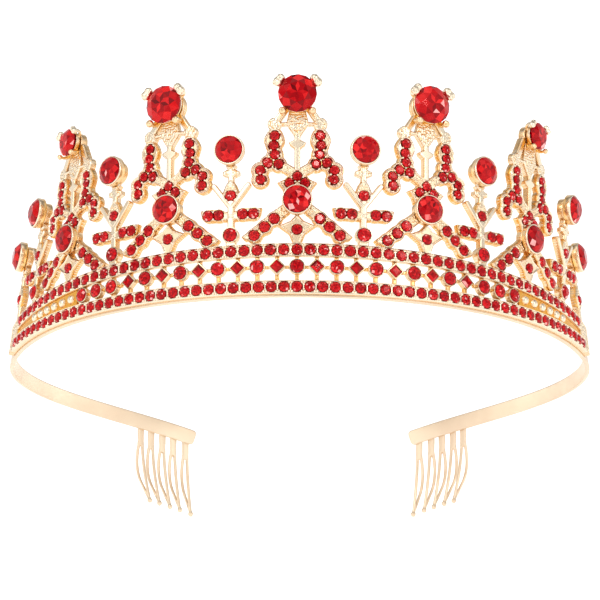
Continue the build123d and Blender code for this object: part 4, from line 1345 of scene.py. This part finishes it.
small_places, ball_places, base_places = [], [], []
for word, side in (("left", -1), ("right", 1)):
    build_post(f"inner_{word}", side * MOTIF_PITCH, 1.0)
    build_post(f"middle_{word}", side * 3 * MOTIF_PITCH, 1.0)
    build_post(f"end_{word}", side * END_POST_U, 1.0, short=True)
build_post("outer_left", -5 * MOTIF_PITCH - 0.45, 0.98)
build_post("outer_right", 5 * MOTIF_PITCH, 1.0, POST_SPLAY)
post_cuts = [brilliant(LARGE_CHIP_R, CHIP_GIRDLE, 0.60, STONE_SIT), brilliant(BASE_STONE_R, 1.55, 0.70, 0.88)]
stones("post_stones", small_places + base_places,
       lambda k: post_cuts[0] if k < len(small_places) else post_cuts[1], "red_chip", 15)
stones("ball_stones", ball_places, brilliant(BALL_STONE_R, 3.30, 1.10, 2.1), "red_stone", 16)
build_comb("comb_left", -1)
build_comb("comb_right", 1)


# ======== floor, light and camera ========
def build_floor():
    """Round white floor at the frame's lowest point, a little glossy."""
    low = CAD_BOX[0][2]
    mesh = bpy.data.meshes.new("floor")
    rings = 12
    around = 96
    points = [(0, 0, low)]
    for k in range(1, rings + 1):
        for i in range(around):
            angle = 2 * pi * i / around
            radius = 0.9 * (k / rings) ** 1.5
            points.append((radius * cos(angle), radius * sin(angle), low))
    faces = [(0, 1 + i, 1 + (i + 1) % around) for i in range(around)]
    for k in range(rings - 1):
        faces += quads(1 + (k + 1) * around, 1 + k * around, around)
    mesh.from_pydata(points, [], faces)
    material, _, shell = shader("pale_floor")
    shell.inputs["Base Color"].default_value = (0.95, 0.95, 0.95, 1)
    shell.inputs["Roughness"].default_value = 0.16
    shell.inputs["IOR"].default_value = 1.30
    shell.inputs["Emission Color"].default_value = (1.0, 1.0, 1.0, 1)
    shell.inputs["Emission Strength"].default_value = 0.45
    mesh.materials.append(material)
    floor = bpy.data.objects.new("floor", mesh)
    bpy.context.scene.collection.objects.link(floor)


def build_world():
    """White studio: even white low down, large soft boxes and dimmer gaps overhead."""
    world = bpy.data.worlds.new("studio")
    world.use_nodes = True
    bpy.context.scene.world = world
    tree = world.node_tree
    background = tree.nodes["Background"]
    direction = tree.nodes.new("ShaderNodeTexCoord").outputs["Generated"]
    parts = tree.nodes.new("ShaderNodeSeparateXYZ")
    tree.links.new(direction, parts.inputs[0])
    total = ranged(tree, parts.outputs["Z"], {"From Min": 0.05, "From Max": 0.26,
                                              "To Min": 1.08, "To Max": 0.26},
                   interpolation_type="SMOOTHSTEP")
    # Each soft box: the way to it, the cosines where its edge and its full light begin, strength.
    boxes = (((-0.55, -0.70, 0.62), 0.82, 0.92, 1.15), ((0.62, -0.62, 0.50), 0.86, 0.94, 0.9),
             ((0.0, -0.20, 1.0), 0.88, 0.96, 0.9), ((-0.9, 0.3, 0.45), 0.84, 0.94, 0.6),
             ((0.9, 0.35, 0.45), 0.84, 0.94, 0.6), ((0.0, 1.0, 0.55), 0.82, 0.93, 0.5))
    for way, edge, core, strength in boxes:
        aim = node(tree, "ShaderNodeVectorMath", operation="DOT_PRODUCT")
        aim.inputs[1].default_value = Vector(way).normalized()
        tree.links.new(direction, aim.inputs[0])
        lit = ranged(tree, aim.outputs["Value"], {"From Min": edge, "From Max": core, "To Max": strength},
                     interpolation_type="SMOOTHSTEP")
        total = maths(tree, "ADD", total, lit)
    tree.links.new(total, background.inputs["Strength"])
    background.inputs["Color"].default_value = (1.0, 1.0, 1.0, 1)


def area_light(name, place, size, power):
    light = bpy.data.lights.new(name, "AREA")
    light.size = size
    light.energy = power
    lamp = bpy.data.objects.new(name, light)
    lamp.location = place
    lamp.rotation_euler = (-Vector(place)).to_track_quat("-Z", "Y").to_euler()
    bpy.context.scene.collection.objects.link(lamp)


def build_camera():
    yaw = radians(0.61)
    distance = 2.0
    height = 0.0079
    camera = bpy.data.cameras.new("camera")
    camera.sensor_width = 36.0
    camera.lens = 455.9
    camera.clip_end = 50.0
    body = bpy.data.objects.new("camera", camera)
    body.location = (distance * sin(yaw), -distance * cos(yaw), height)
    look = Vector((-sin(yaw), cos(yaw), 0)).to_track_quat("-Z", "Y")
    pitch = Quaternion((1, 0, 0), radians(-0.259))
    roll = Quaternion((0, 0, 1), radians(0.06))
    body.rotation_euler = (look @ pitch @ roll).to_euler()
    bpy.context.scene.collection.objects.link(body)
    bpy.context.scene.camera = body


build_floor()
build_world()
area_light("key_box", (-0.7, -1.2, 1.1), 0.35, 3.0)
area_light("fill_box", (0.9, -1.0, 0.6), 0.30, 1.6)
area_light("glint_box", (0.25, -1.6, 0.9), 0.06, 0.5)
build_camera()
bpy.context.scene.view_settings.view_transform = "Standard"
